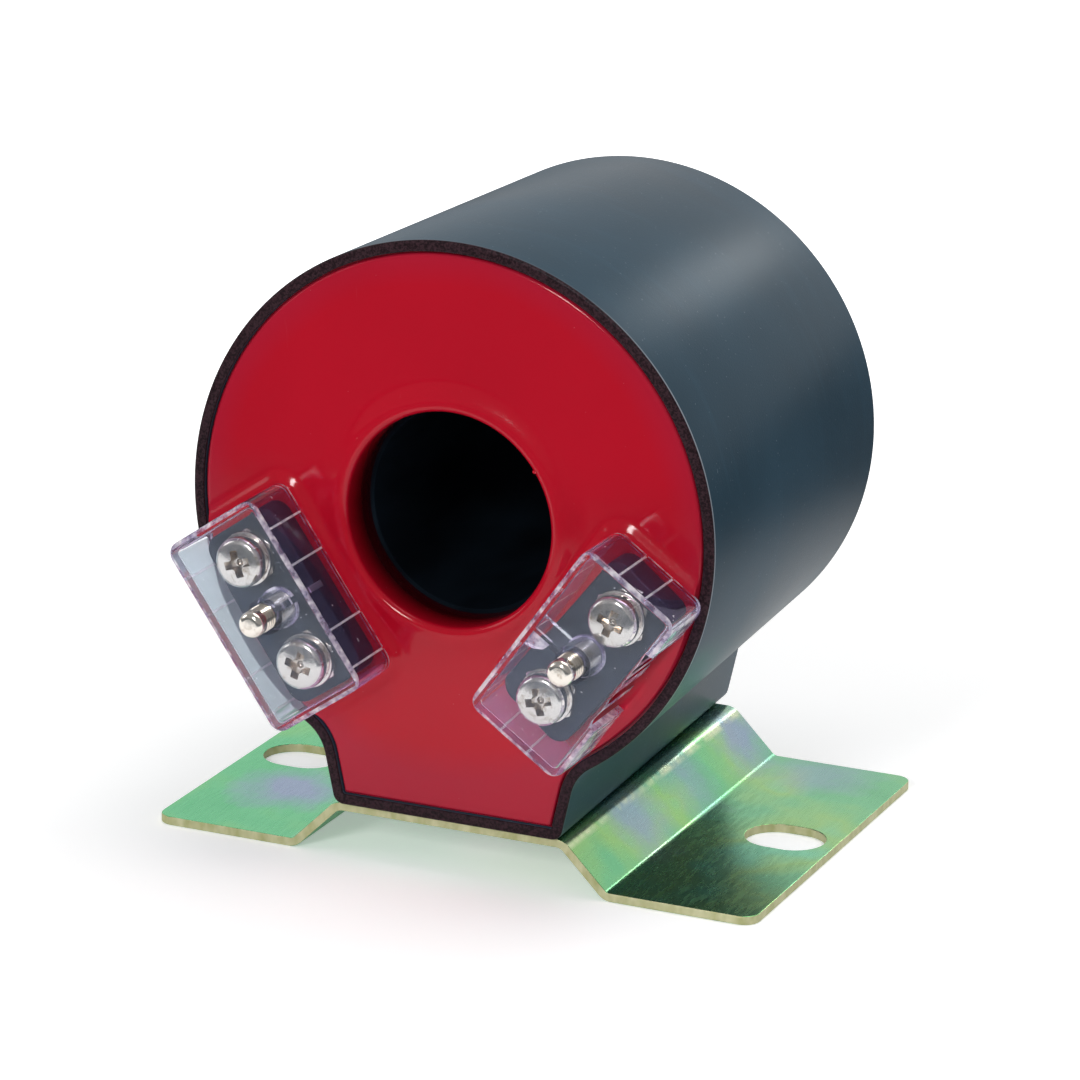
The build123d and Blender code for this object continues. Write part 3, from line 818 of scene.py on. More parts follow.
class TRANSFORMER_OT_resin(bpy.types.Operator):
    """Red resin fill with its lip round the bore and its rise round the terminal blocks"""

    bl_idname = "transformer.resin"
    bl_label = "Resin"

    SETBACK = 0.35 * MM
    CROWN = 1.2 * MM

    def execute(self, context):
        values = sizes()
        outline = Outline(values)
        depth = REAR_Y - FRONT_Y
        groove, floor, brim = 0.35 * MM, 1.0 * MM, 0.6 * MM
        tube_radius, mouth = BORE_RADIUS + BORE_WALL, BORE_RADIUS + 0.8 * MM
        edge = values.wall + groove
        rings = [
            outline.circle(values.tube_setback, tube_radius),
            outline.circle(depth - REAR_WALL, tube_radius),
            outline.at(depth - REAR_WALL, values.wall),
            outline.at(self.SETBACK + floor, values.wall),
            outline.at(self.SETBACK + floor, edge),
        ]
        for out, down in quarter(5):
            rings.append(outline.at(self.SETBACK + brim * (1 - out), edge + brim * (1 - down)))
        rings += self.face(outline, values, edge + brim, mouth)
        rings.append(outline.circle(values.tube_setback, mouth))
        mesh = closed_sweep(rings)
        for side in SIDES:
            self.swell(mesh, cover_matrix(side).inverted())
        finish = resin_finish()
        add_piece(
            "resin_casting", mesh, finish, replaced=["resin_fill"], flat_above=50)
        add_piece("lip_nub", self.nub(mouth), finish)
        return {"FINISHED"}

    def face(self, outline, values, inset, mouth):
        """Rings from the face's edge in to the lip, over its crest and into the bore."""
        crest_radius = mouth + self.CROWN
        edge = outline.at(self.SETBACK, inset)
        foot = outline.circle(self.SETBACK, crest_radius + values.lip_slope)
        steps = 46
        rings = []
        for step in range(1, steps):
            share = step / steps
            rings.append([a.lerp(b, share) for a, b in zip(edge, foot)])
        for step in range(17):
            share = 1 - step / 16
            height = values.lip_rise * self.height(share)
            rings.append(outline.circle(
                self.SETBACK - height, crest_radius + values.lip_slope * share))
        crest = self.SETBACK - values.lip_rise
        for out, down in quarter(8)[1:]:
            rings.append(outline.circle(
                crest + self.CROWN * (1 - down), crest_radius - self.CROWN * out))
        return rings

    def height(self, share):
        """Height of the lip's slope, from 1 at its crest to 0 at its foot."""
        turn = 0.3
        if share < turn:
            return 1 - share ** 2 / turn
        return (1 - share) ** 2 / (1 - turn)

    def swell(self, mesh, to_block):
        """Lifts the resin's face into a soft rise round a terminal block."""
        half = Vector((COVER_LENGTH, COVER_WIDTH)) / 2
        corner, spread, rise = 3.0 * MM, 2.9 * MM, 0.9 * MM
        for vert in mesh.verts:
            if vert.co.y > FRONT_Y + self.SETBACK + 0.1 * MM:
                continue
            spot = to_block @ vert.co
            over = Vector((abs(spot.x) - half.x + corner, abs(spot.y) - half.y + corner))
            beyond = Vector((max(over.x, 0), max(over.y, 0))).length - corner
            share = min(max(beyond / spread, 0), 1)
            vert.co.y -= rise * (1 + math.cos(math.pi * share)) / 2

    def nub(self, mouth):
        """Small torn drop of resin left on the lip."""
        mesh = bmesh.new()
        bmesh.ops.create_icosphere(mesh, subdivisions=3, radius=0.55 * MM)
        bmesh.ops.scale(mesh, vec=(1.0, 0.9, 0.7), verts=mesh.verts)
        turn = math.radians(34)
        radius = mouth + 0.5 * MM
        across, up = math.cos(turn) * radius, math.sin(turn) * radius
        place = AXIS + Vector((across, FRONT_Y - 0.35 * MM, up))
        bmesh.ops.translate(mesh, vec=place, verts=mesh.verts)
        return mesh


class TRANSFORMER_OT_bracket(bpy.types.Operator):
    """Folded bracket: two slotted feet and a raised hat"""

    bl_idname = "transformer.bracket"
    bl_label = "Bracket"

    def execute(self, context):
        low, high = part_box("mounting_bracket")
        sheet = sizes().sheet
        foot_bend, hat_bend, bend, corner = 30.9 * MM, 22.4 * MM, 3.2 * MM, 3.0 * MM
        slots = mount("foot_slots")["dims"]
        mesh = bmesh.new()
        profile = [(high.x, sheet), (foot_bend, sheet), (hat_bend, high.z)]
        profile += [(-x, z) for x, z in reversed(profile)]
        verts = [mesh.verts.new((x, low.y, z)) for x, z in profile]
        edges = [mesh.edges.new(pair) for pair in zip(verts, verts[1:])]
        far = verts_of(bmesh.ops.extrude_edge_only(mesh, edges=edges)["geom"])
        bmesh.ops.translate(mesh, vec=(0, high.y - low.y, 0), verts=far)
        corners = [v for v in mesh.verts if abs(abs(v.co.x) - high.x) < HAIR]
        bevel(mesh, corners, corner, 6, "VERTICES")
        for fold, radius in ((hat_bend, bend), (foot_bend, bend - sheet)):
            near = [e for e in turning_edges(mesh, 0.3)
                    if abs(abs(e.verts[0].co.x) - fold) < HAIR]
            bevel(mesh, near, radius * math.tan(math.radians(22.5)), 8)
        bmesh.ops.recalc_face_normals(mesh, faces=mesh.faces)
        up = sum(f.normal.z * f.calc_area() for f in mesh.faces)
        if up < 0:
            bmesh.ops.reverse_faces(mesh, faces=mesh.faces)
        bmesh.ops.solidify(mesh, geom=mesh.faces[:], thickness=sheet)
        tools = []
        for side in (-1, 1):
            tools.append(("DIFFERENCE", self.slot_tool(side, slots)))
        for end in ENDS:
            spot = middle(end + "_fixing_screw")
            hole = moved(rod(2.75 * MM, -MM, high.z + MM), Matrix.Translation((0, spot.y, 0)))
            tools.append(("DIFFERENCE", hole))
        mesh = combine(mesh, tools)
        piece = add_piece(
            "folded_bracket", mesh, chromate_finish(),
            replaced=["mounting_bracket"])
        piece.data.materials.append(cut_edge_finish())
        for face in piece.data.polygons:
            across = abs(face.normal.z) < 0.2 and abs(face.normal.y) > 0.02
            if across or abs(face.normal.x) > 0.98:
                face.material_index = 1
        edge = piece.modifiers.new("edge", "BEVEL")
        edge.width = 0.15 * MM
        edge.segments = 3
        edge.limit_method = "ANGLE"
        edge.angle_limit = math.radians(40)
        return {"FINISHED"}

    def slot_tool(self, side, slots):
        """Obround cutter for the slot in one foot."""
        radius = slots["hole_r_mm"] * MM
        straight = slots["slot_length_mm"] * MM / 2 - radius
        middle_x = side * slots["spacing_x_mm"] * MM / 2
        mesh = bmesh.new()
        for end in (-1, 1):
            made = bmesh.ops.create_circle(mesh, cap_ends=False, radius=radius, segments=48)
            bmesh.ops.translate(mesh, vec=(middle_x + end * straight, 0, -MM), verts=made["verts"])
        bmesh.ops.convex_hull(mesh, input=mesh.verts)
        bmesh.ops.delete(mesh, geom=[v for v in mesh.verts if not v.link_faces], context="VERTS")
        bmesh.ops.dissolve_limit(mesh, angle_limit=0.01, verts=mesh.verts, edges=mesh.edges)
        raise_faces(mesh, 5 * MM)
        return mesh


class TRANSFORMER_OT_bases(bpy.types.Operator):
    """Moulded terminal bases set in the resin"""

    bl_idname = "transformer.bases"
    bl_label = "Terminal bases"

    def execute(self, context):
        finish = base_finish()
        for side in SIDES:
            node = side + "_terminal_base"
            low, high = reach(node)
            mesh = rounded_plate(33.7 * MM, 15.6 * MM, 3.0 * MM, low, high, 8)
            bevel(mesh, edges_above(mesh, high), 0.4 * MM, 3)
            moved(mesh, block_matrix(side))
            add_piece(side + "_base_moulding", mesh, finish, replaced=[node])
        return {"FINISHED"}


def terminals():
    """Side, spot and start of the nodes' names of each terminal."""
    return [(side, spot, "%s_%s_" % (side, spot)) for side in SIDES for spot in SPOTS]


def along_block(side, node):
    """Matrix of the block's frame, shifted along it to a node's place."""
    frame_here = block_matrix(side)
    spot = frame_here.inverted() @ middle(node)
    return frame_here @ Matrix.Translation((spot.x, 0, 0))


class TRANSFORMER_OT_inserts(bpy.types.Operator):
    """Hexagonal threaded inserts of the terminals"""

    bl_idname = "transformer.inserts"
    bl_label = "Terminal inserts"

    def execute(self, context):
        finish = nickel_finish()
        across_flats = 9.5 * MM
        for side, _, prefix in terminals():
            node = prefix + "terminal_insert"
            low, high = reach(node)
            mesh = bmesh.new()
            bmesh.ops.create_circle(
                mesh, cap_ends=True, segments=6, radius=across_flats / math.sqrt(3))
            bmesh.ops.translate(mesh, vec=(0, 0, low), verts=mesh.verts)
            raise_faces(mesh, high - low)
            soften(mesh, 0.2 * MM)
            moved(mesh, along_block(side, node))
            add_piece(prefix + "hex_insert", mesh, finish, replaced=[node])
        return {"FINISHED"}


class TRANSFORMER_OT_washers(bpy.types.Operator):
    """Flat and split washers under the screws"""

    bl_idname = "transformer.washers"
    bl_label = "Washers"

    def execute(self, context):
        finish = nickel_finish()
        for side, _, prefix in terminals():
            self.flat(side, prefix, finish)
            node = prefix + "spring_washer"
            mesh = self.split_ring(*reach(node))
            moved(mesh, along_block(side, node))
            add_piece(prefix + "split_ring", mesh, finish, replaced=[node])
        for end in ENDS:
            node = end + "_fixing_washer"
            low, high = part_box(node)
            mesh = self.split_ring(low.z, high.z)
            moved(mesh, Matrix.Translation((0, middle(node).y, 0)))
            add_piece(end + "_split_ring", mesh, finish, replaced=[node])
        return {"FINISHED"}

    def flat(self, side, prefix, finish):
        """Plain washer."""
        node = prefix + "flat_washer"
        low, high = reach(node)
        mesh = tube(5.0 * MM, SCREW_HOLE, low, high, 72)
        soften(mesh, 0.15 * MM)
        moved(mesh, along_block(side, node))
        add_piece(prefix + "plain_ring", mesh, finish, replaced=[node])

    def split_ring(self, low, high):
        """Square-section ring that stops short of a full turn."""
        radius = 4.4 * MM
        mesh = bmesh.new()
        section = [(SCREW_HOLE, low), (radius, low), (radius, high), (SCREW_HOLE, high)]
        verts = [mesh.verts.new((r, 0, z)) for r, z in section]
        edges = [mesh.edges.new((verts[i - 1], verts[i])) for i in range(4)]
        start = mesh.faces.new(verts)
        gap = math.radians(11)
        bmesh.ops.spin(
            mesh, geom=verts + edges + [start], cent=(0, 0, 0), axis=(0, 0, 1), dvec=(0, 0, 0),
            angle=math.tau - gap, steps=60, use_duplicate=False)
        bmesh.ops.rotate(mesh, matrix=Matrix.Rotation(math.radians(25), 3, "Z"), verts=mesh.verts)
        bmesh.ops.recalc_face_normals(mesh, faces=mesh.faces)
        soften(mesh, 0.16 * MM)
        return mesh


class TRANSFORMER_OT_screws(bpy.types.Operator):
    """Pan head screws of the terminals and of the bracket"""

    bl_idname = "transformer.screws"
    bl_label = "Screws"

    TURNS = {"upper": 17, "lower": 52}

    def execute(self, context):
        finish = nickel_finish()
        for side, spot, prefix in terminals():
            node = prefix + "terminal_screw"
            low, high = reach(node)
            place = along_block(side, node) @ Matrix.Translation((0, 0, high))
            turn = Matrix.Rotation(math.radians(self.TURNS[spot]), 4, "Z")
            mesh = moved(self.pan_screw(high - low), place @ turn)
            add_piece(prefix + "pan_screw", mesh, finish, replaced=[node])
        upside_down = Matrix.Rotation(math.pi, 4, "X")
        for end in ENDS:
            node = end + "_fixing_screw"
            low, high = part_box(node)
            place = Matrix.Translation((0, middle(node).y, low.z))
            mesh = moved(self.pan_screw(high.z - low.z), place @ upside_down)
            add_piece(end + "_pan_screw", mesh, finish, replaced=[node])
        return {"FINISHED"}

    def pan_screw(self, length):
        """Screw with its head's top on z = 0 and its shank below."""
        radius, head, shank = 4.6 * MM, 2.5 * MM, 2.45 * MM
        crown, flank, pitch = 0.3 * MM, 1.1 * MM, THREAD_PITCH
        flat = radius - flank
        profile = [(0, 0)]
        for step in range(1, 7):
            radius_here = flat * step / 6
            profile.append((radius_here, -crown * (radius_here / flat) ** 2))
        for out, down in quarter(7)[1:]:
            profile.append((flat + flank * out, -crown - flank * (1 - down)))
        profile += [(radius, -head + 0.2 * MM), (radius - 0.2 * MM, -head), (shank, -head)]
        height = -head - pitch
        while height > -length + 2 * pitch:
            profile += [(shank, height), (shank - 0.35 * MM, height - pitch / 2)]
            height -= pitch
        profile += [(shank, height), (shank - 0.5 * MM, -length), (0, -length)]
        mesh = lathe(profile, 72)
        tools = [("DIFFERENCE", self.wing(turn)) for turn in (0, 90)]
        tools.append(("DIFFERENCE", lathe([
            (0, -2.1 * MM), (0.5 * MM, -1.8 * MM), (1.6 * MM, 0.5 * MM), (0, 0.5 * MM)], 24)))
        return combine(mesh, tools)

    def wing(self, turn):
        """One bar of the cross recess, narrower and shorter at its floor."""
        bar = block_of((-2.8 * MM, -0.8 * MM, -1.4 * MM), (2.8 * MM, 0.8 * MM, 0.5 * MM))
        floor = [v for v in bar.verts if v.co.z < -MM]
        bmesh.ops.scale(bar, vec=(0.65, 0.8, 1), verts=floor)
        bmesh.ops.rotate(bar, matrix=Matrix.Rotation(math.radians(turn), 3, "Z"), verts=bar.verts)
        return bar


class TRANSFORMER_OT_studs(bpy.types.Operator):
    """Threaded cover studs with a round tip and a cross hole"""

    bl_idname = "transformer.studs"
    bl_label = "Cover studs"

    def execute(self, context):
        finish = nickel_finish()
        for side in SIDES:
            node = side + "_cover_stud"
            low, high = reach(node)
            mesh = moved(self.stud(low, high), block_matrix(side))
            add_piece(side + "_sealing_stud", mesh, finish, replaced=[node])
        return {"FINISHED"}

    def stud(self, low, high):
        """Plain tip and neck over a thread made of rings."""
        radius, root, pitch, tip = 2.45 * MM, 1.8 * MM, THREAD_PITCH, 2.5 * MM
        nose, ridge = 1.2 * MM, radius - 0.06 * MM
        profile = [(0, low), (root, low)]
        height = low + pitch
        while height < high - tip - pitch:
            profile += [
                (root, height), (ridge, height + pitch * 0.4), (ridge, height + pitch * 0.58)]
            height += pitch
        profile += [(root, height), (root, high - tip), (radius, high - tip + 0.3 * MM)]
        for out, down in quarter(7):
            profile.append((radius - nose * (1 - down), high - nose * (1 - out)))
        profile.append((0, high))
        mesh = lathe(profile, 56)
        hole = rod(0.6 * MM, -5 * MM, 5 * MM, 24)
        across = Matrix.Translation((0, 0, high - 1.9 * MM)) @ Matrix.Rotation(math.pi / 2, 4, "Y")
        return combine(mesh, [("DIFFERENCE", moved(hole, across))])


class TRANSFORMER_OT_covers(bpy.types.Operator):
    """Clear terminal covers with sleeves, webs and score lines"""

    bl_idname = "transformer.covers"
    bl_label = "Clear covers"

    CORNER = 2.4 * MM
    WALL = 1.3 * MM
    PLATE = 1.2 * MM
    ROUND = 0.6 * MM
    BRIM = 0.6 * MM
    BAND = 0.8 * MM
    LONG_SCORES = (-15.4 * MM, -7.8 * MM, 5.3 * MM, 12.7 * MM)
    END_SCORES = (-3.0 * MM, 3.0 * MM)
    WINDOW = (-6.5 * MM, 11.5 * MM)
    # Material slots: lit edge, score line, and three side walls with painted shade, painted pink
    # light and painted pale light.
    EDGE, SCORED, PLUM, PINK, MILKY = range(1, 6)

    def execute(self, context):
        clear = clear_finish()
        others = (
            moulded_edge_finish(), score_finish(),
            # Side walls with painted shade, painted pink light and painted pale light, in that
            # order.
            side_wall_finish("clear_cover_painted_shade_wall", (0.3, 0.18, 0.36), 0.97),
            side_wall_finish("clear_cover_painted_pink_light_wall", (0.95, 0.46, 0.86), 0.62),
            side_wall_finish("clear_cover_painted_pale_light_wall", (0.8, 0.96, 1.0), 0.4))
        for side in SIDES:
            node = side + "_cover"
            low, high = reach(node)
            tools = self.inside_tools(side, low, high)
            mesh = combine(self.shell(low, high), tools)
            everything = mesh.verts[:] + mesh.edges[:] + mesh.faces[:]
            bisect(mesh, everything, (0, 0, low + self.BRIM), (0, 0, 1))
            self.split_band(mesh, high)
            self.mark_faces(mesh, side, low, high)
            moved(mesh, cover_matrix(side))
            piece = add_piece(
                side + "_clear_cover", mesh, clear, body=node, replaced=[node])
            for finish in others:
                piece.data.materials.append(finish)
        return {"FINISHED"}

    def shell(self, low, high):
        """Open box with rounded edges."""
        mesh = rounded_plate(COVER_LENGTH, COVER_WIDTH, self.CORNER, low, high)
        bevel(mesh, edges_above(mesh, high), self.ROUND, 4)
        return mesh

    def inside_tools(self, side, low, high):
        """Everything that is cut from or joined to the box."""
        wall, plate = self.WALL, self.PLATE
        hollow = rounded_plate(
            COVER_LENGTH - 2 * wall, COVER_WIDTH - 2 * wall, self.CORNER - wall, low - MM,
            high - plate)
        bevel(hollow, edges_above(hollow, high - plate), 0.4 * MM, 3)
        foot, web_half, top = 6.1 * MM, 0.6 * MM, high - plate / 2
        web = block_of((-web_half, 0, foot), (web_half, COVER_WIDTH / 2 - wall / 2, top))
        tools = [
            ("DIFFERENCE", hollow), ("UNION", web), ("UNION", rod(3.4 * MM, foot, top)),
            ("UNION", rod(3.75 * MM, foot, foot + 0.8 * MM)),
            ("DIFFERENCE", rod(SCREW_HOLE, low - MM, high + MM))]
        for u, v in self.score_places():
            tools.append(("DIFFERENCE", self.groove(u, v, low, high)))
        if side == "right":
            tools.append(("UNION", self.gusset(high)))
            tools.append(("DIFFERENCE", self.window(low, high)))
        return tools

    def gusset(self, high):
        """Small corner web between the rib, the plate and the inner wall."""
        mesh = bmesh.new()
        drop = 1.5 * MM
        corners = [(-0.3, 9.4), (-3.4, 9.4), (-2.7, 7.0), (-1.6, 5.6), (-0.3, 5.2)]
        mesh.faces.new([
            mesh.verts.new((x * MM, y * MM, high - self.PLATE - drop)) for x, y in corners])
        raise_faces(mesh, drop + self.PLATE / 2)
        return mesh

    def score_places(self):
        """Middle of each score line on the outside of the walls."""
        half_length, half_width = COVER_LENGTH / 2, COVER_WIDTH / 2
        places = [(u, v) for u in self.LONG_SCORES for v in (half_width, -half_width)]
        return places + [(u, v) for u in (half_length, -half_length) for v in self.END_SCORES]

    def groove(self, u, v, low, high):
        """Cutter for the score line at (u, v)."""
        half, depth = 0.2 * MM, 0.3 * MM
        x, y = (half, depth) if abs(v) > self.END_SCORES[1] + MM else (depth, half)
        return block_of((u - x, v - y, low - MM), (u + x, v + y, high - self.ROUND))

    def window(self, low, high):
        """Cutter for the broken-out panel, with a torn inner edge and torn ends."""
        start, end = self.WINDOW
        floor = -COVER_WIDTH / 2 + 1.5 * MM
        mesh = block_of((start, -COVER_WIDTH, low - MM), (end, floor, high + MM))
        edges = [e for e in mesh.edges if abs(e.verts[0].co.x - e.verts[1].co.x) > MM
                 and all(v.co.y > floor - HAIR for v in e.verts)]
        bmesh.ops.subdivide_edges(mesh, edges=edges, cuts=14, use_grid_fill=True)
        chance = random.Random(7)
        torn = {}
        for vert in mesh.verts:
            if vert.co.y < floor - HAIR:
                continue
            step = round(vert.co.x / MM, 2)
            torn.setdefault(step, chance.uniform(-0.3, 0.12) * MM)
            vert.co.y += torn[step]
        return mesh

    def split_band(self, mesh, high):
        """Splits the plate's front along its edges, so that the band can have its own finish."""
        for axis, half in ((0, COVER_LENGTH / 2), (1, COVER_WIDTH / 2)):
            for sign in (-1, 1):
                front = [f for f in mesh.faces
                         if f.normal.z > 0.99 and f.calc_center_median().z > high - HAIR]
                edges = {e for f in front for e in f.edges}
                verts = {v for f in front for v in f.verts}
                place, facing = Vector((0, 0, high)), Vector((0, 0, 0))
                place[axis] = sign * (half - self.BAND)
                facing[axis] = sign
                bisect(mesh, list(verts) + list(edges) + front, place, facing)

    def mark_faces(self, mesh, side, low, high):
        """Gives moulded and broken edges, score lines and the side walls their own finish; the edge
        finish is a painted highlight, and the wall finishes are painted shade or light.
        """
        start, end = self.WINDOW
        for face in mesh.faces:
            centre = face.calc_center_median()
            normal = face.normal
            beyond = max(abs(centre.x) - COVER_LENGTH / 2, abs(centre.y) - COVER_WIDTH / 2)
            outer = beyond > -MM
            rounded = outer and centre.z > high - self.ROUND and 0.15 < normal.z < 0.97
            band = centre.z > high - HAIR and beyond > -self.BAND
            across = math.hypot(centre.x, centre.y)
            flange = 3.3 * MM < across < 3.8 * MM and centre.z < 7 * MM
            rim = centre.z < low + self.BRIM
            broken = (side == "right" and start - MM / 2 < centre.x < end + MM / 2
                      and centre.y < -COVER_WIDTH / 2 + 2 * MM and abs(normal.z) < 0.5)
            in_groove = any(
                abs(centre.x - u) < 0.31 * MM and abs(centre.y - v) < 0.31 * MM
                for u, v in self.score_places())
            gusset = (side == "right" and -3.6 * MM < centre.x < -0.5 * MM
                      and 5 * MM < centre.y < 9.05 * MM and abs(centre.z - high + 1.9 * MM) < MM)
            # Painted shade (dark plum) on the upper ends and the left cover's inner wall; painted
            # pink light on the lower ends and the right cover's inner wall; painted pale light on
            # the left cover's outer wall.
            shaded = outer and (normal.x > 0.9 or (side == "left" and normal.y > 0.9))
            pink_lit = outer and (normal.x < -0.9 or (side == "right" and normal.y > 0.9))
            stub = side == "right" and outer and normal.y < -0.9
            if in_groove and face.calc_area() < 6 * MM ** 2:
                face.material_index = self.SCORED
            # Painted highlight: the lilac-white edge finish goes on the rounded edges, the plate's
            # band, the sleeve's flange, the back rim, the right cover's outer wall stubs and the
            # gusset; on the torn window edges it also stands for their crazing.
            elif rounded or band or flange or rim or broken or stub or gusset:
                face.material_index = self.EDGE
            elif shaded:
                face.material_index = self.PLUM
            elif pink_lit:
                face.material_index = self.PINK
            elif outer and side == "left" and normal.y < -0.9:
                face.material_index = self.MILKY


class TRANSFORMER_OT_inner(bpy.types.Operator):
    """Finishes for the pieces inside the case and under the bracket"""

    bl_idname = "transformer.inner"
    bl_label = "Inner pieces"

    def execute(self, context):
        copper = plain_finish(
            "enamelled_copper", (0.75, 0.32, 0.14), (0.4, 0.12, 0.04), 900,
            metallic=1.0, roughness=0.32)
        steel = plain_finish(
            "core_strip", (0.4, 0.4, 0.42), (0.2, 0.2, 0.22), 1500,
            metallic=1.0, roughness=0.4)
        film = plain_finish(
            "wrapped_film", (0.85, 0.8, 0.62), (0.66, 0.58, 0.4), 500, roughness=0.5)
        brass = plain_finish(
            "plain_brass", (0.85, 0.68, 0.35), (0.6, 0.45, 0.2), 700,
            metallic=1.0, roughness=0.28)
        finishes = {"toroid_core": steel, "core_insulation": film, "winding_tape": film,
                    "secondary_winding": copper}
        for side in SIDES:
            finishes[side + "_winding_lead"] = copper
            finishes[side + "_link_plate"] = copper
        for end in ENDS:
            finishes[end + "_pedestal_insert"] = brass
        for node, finish in finishes.items():
            frame["nodes"][node].data.materials.clear()
            frame["nodes"][node].data.materials.append(finish)
        return {"FINISHED"}


class TRANSFORMER_OT_stage(bpy.types.Operator):
    """Pale floor, soft light and the camera"""

    bl_idname = "transformer.stage"
    bl_label = "Stage"

    def execute(self, context):
        self.floor()
        self.lamps()
        self.sky()
        self.camera()
        context.scene.view_settings.view_transform = "Standard"
        return {"FINISHED"}

    def floor(self):
        """Wide pale floor."""
        mesh = bmesh.new()
        bmesh.ops.create_grid(mesh, x_segments=1, y_segments=1, size=4)
        data = bpy.data.meshes.new("studio_floor")
        mesh.to_mesh(data)
        mesh.free()
        floor = bpy.data.objects.new("studio_floor", data)
        floor.location.z = -0.05 * MM
        bpy.context.scene.collection.objects.link(floor)
        data.materials.append(self.floor_finish())

    def floor_finish(self):
        """Matt white that keeps shadows; reflections find it dark beyond a near and a far edge."""
        graph = Graph("pale_floor")
        depth = along_axis(graph, "Y")
        path = graph.node("ShaderNodeLightPath").outputs
        near = graph.span(depth, -0.255, -0.2)
        far = graph.span(depth, 0.1, 0.2, 1, 0)
        sheet = graph.times(near, far)
        mirrored = graph.math("MINIMUM", path["Glossy Depth"], 1.0)
        hidden = graph.times(mirrored, graph.math("SUBTRACT", 1.0, sheet))
        shader = graph.surface(
            base_color=graph.mix(hidden, (0.93, 0.93, 0.93), (0.1, 0.11, 0.12)), roughness=0.9,
            specular_ior_level=0.0)
        paling = graph.span(length_of(graph, graph.place), 0.12, 0.4, 0.34, 1.0)
        lift = graph.times(self.seen_straight(graph, path), paling)
        lift = graph.math("MAXIMUM", lift, graph.times(graph.times(mirrored, sheet), 0.15))
        glow = graph.node("ShaderNodeEmission", {"Color": (1, 1, 1, 1), "Strength": lift})
        both = graph.node("ShaderNodeAddShader")
        graph.tree.links.new(shader.outputs[0], both.inputs[0])
        graph.tree.links.new(glow.outputs[0], both.inputs[1])
        graph.tree.links.new(both.outputs[0], graph.output.inputs["Surface"])
        return graph.owner

    def lamps(self):
        """Tall soft box in front, wide one overhead, a small one behind and one at the left."""
        target = Vector((0, 0, 0.06))
        for name, place, size, power in (
            ("front", (-0.05, -1.05, 0.5), (0.16, 0.3), 4.8),
            ("overhead", (0.25, 0.15, 1.1), (0.8, 0.8), 5.0),
            ("behind", (0.105, 0.43, 0.285), (0.08, 0.08), 0.17),
            ("left", (-1.0, -0.5, 0.5), (0.5, 0.5), 1.5),
        ):
            light = bpy.data.lights.new(name, "AREA")
            light.shape = "RECTANGLE"
            light.size, light.size_y = size
            light.energy = power
            lamp = bpy.data.objects.new(name, light)
            lamp.location = place
            lamp.rotation_euler = (target - lamp.location).to_track_quat("-Z", "Y").to_euler()
            lamp.visible_camera = False
            bpy.context.scene.collection.objects.link(lamp)

    def sky(self):
        """White to the camera and through glass; otherwise grey, paler behind than in front."""
        graph = Graph("studio_world", "World")
        bpy.context.scene.world = graph.owner
        direction = graph.place.node.outputs["Generated"]
        behind = graph.node("ShaderNodeSeparateXYZ", {"Vector": direction}).outputs["Y"]
        glossy = self.level(graph, behind, -0.2, 0.6, 0.26, 0.9)
        diffuse = self.level(graph, behind, -1.0, 1.0, 0.22, 0.4)
        path = graph.node("ShaderNodeLightPath").outputs
        mirrored = graph.math("MINIMUM", path["Glossy Depth"], 1.0)
        seen = self.choose(graph, mirrored, diffuse, glossy)
        strength = self.choose(graph, self.seen_straight(graph, path), seen, 1.0)
        back = graph.node("ShaderNodeBackground", {"Color": (1, 1, 1, 1), "Strength": strength})
        graph.tree.links.new(back.outputs[0], graph.output.inputs["Surface"])

    def seen_straight(self, graph, path):
        """1 for camera rays and rays through glass that nothing has turned, and 0 for the rest."""
        bounced = graph.math("ADD", path["Glossy Depth"], path["Diffuse Depth"])
        through = graph.math("MAXIMUM", path["Is Camera Ray"], path["Is Transmission Ray"])
        return graph.times(through, graph.math("LESS_THAN", bounced, 0.5))

    def level(self, graph, value, low, high, start, end):
        """Maps a value between two strengths, smoothly."""
        inputs = {"Value": value, "From Min": low, "From Max": high, "To Min": start, "To Max": end}
        made = graph.node("ShaderNodeMapRange", inputs, interpolation_type="SMOOTHSTEP")
        return made.outputs["Result"]

    def choose(self, graph, share, first, second):
        """The first value where the share is 0 and the second where it is 1."""
        made = graph.node("ShaderNodeMix", {"Factor": share, "A": first, "B": second})
        return made.outputs["Result"]

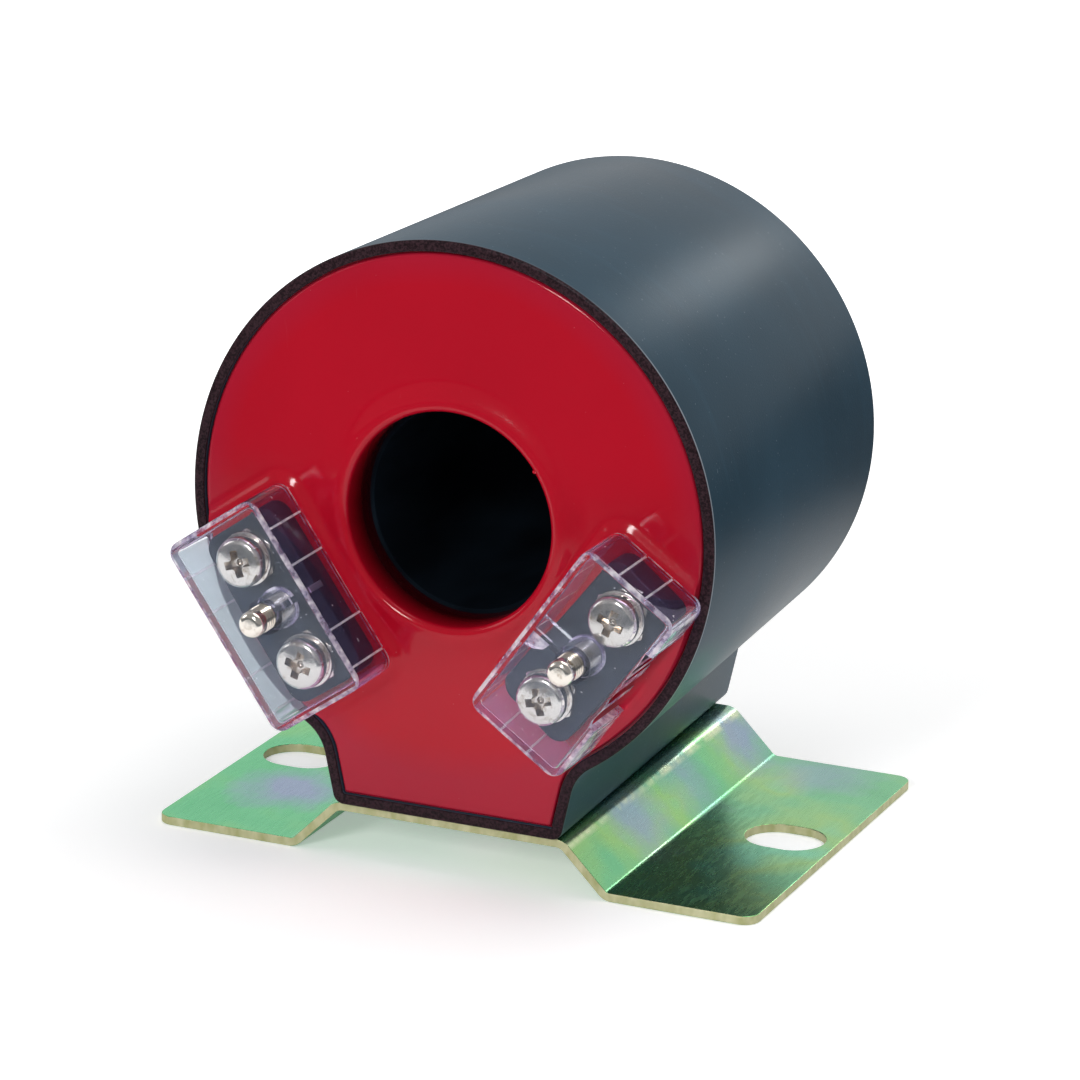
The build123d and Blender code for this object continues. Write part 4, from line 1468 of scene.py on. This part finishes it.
    def camera(self):
        """Camera at the photograph's viewing angle."""
        azimuth, elevation, roll = math.radians(23.835), math.radians(17.409), math.radians(0.856)
        distance, target = 959.07 * MM, Vector((-2.389, 4.0, 49.606)) * MM
        focal, frame_width = 5249.6, 1080
        level = math.cos(elevation)
        back = Vector((math.sin(azimuth) * level, -math.cos(azimuth) * level, math.sin(elevation)))
        right = (-back).cross(Vector((0, 0, 1))).normalized()
        up = right.cross(-back)
        right, up = (right * math.cos(roll) + up * math.sin(roll),
                     up * math.cos(roll) - right * math.sin(roll))
        lens = bpy.data.cameras.new("viewpoint")
        lens.sensor_width = 36
        lens.lens = focal / frame_width * lens.sensor_width
        lens.clip_start = 0.05
        camera = bpy.data.objects.new("viewpoint", lens)
        matrix = Matrix((right, up, back)).transposed().to_4x4()
        matrix.translation = target + back * distance
        camera.matrix_world = matrix
        bpy.context.scene.collection.objects.link(camera)
        bpy.context.scene.camera = camera


OPERATORS = (
    TRANSFORMER_OT_stage,
    TRANSFORMER_OT_case,
    TRANSFORMER_OT_resin,
    TRANSFORMER_OT_bracket,
    TRANSFORMER_OT_bases,
    TRANSFORMER_OT_inserts,
    TRANSFORMER_OT_washers,
    TRANSFORMER_OT_screws,
    TRANSFORMER_OT_studs,
    TRANSFORMER_OT_covers,
    TRANSFORMER_OT_inner,
)


class TRANSFORMER_PT_panel(bpy.types.Panel):
    """Buttons for the transformer's pieces"""

    bl_idname = "TRANSFORMER_PT_panel"
    bl_label = "Current Transformer"
    bl_space_type = "VIEW_3D"
    bl_region_type = "UI"
    bl_category = "Transformer"

    def draw(self, context):
        for operator in OPERATORS:
            self.layout.operator(operator.bl_idname)


CLASSES = (TransformerSizes, TransformerColours) + OPERATORS + (TRANSFORMER_PT_panel,)


def register():
    """Registers the classes and hangs the properties on the scene."""
    for item in CLASSES:
        bpy.utils.register_class(item)
    bpy.types.Scene.transformer_sizes = PointerProperty(type=TransformerSizes)
    bpy.types.Scene.transformer_colours = PointerProperty(type=TransformerColours)


def unregister():
    """Undoes register."""
    del bpy.types.Scene.transformer_colours
    del bpy.types.Scene.transformer_sizes
    for item in reversed(CLASSES):
        bpy.utils.unregister_class(item)


def main():
    """Builds everything round the frame."""
    register()
    for operator in OPERATORS:
        getattr(bpy.ops.transformer, operator.bl_idname.split(".")[1])()


if __name__ == "__main__":
    main()
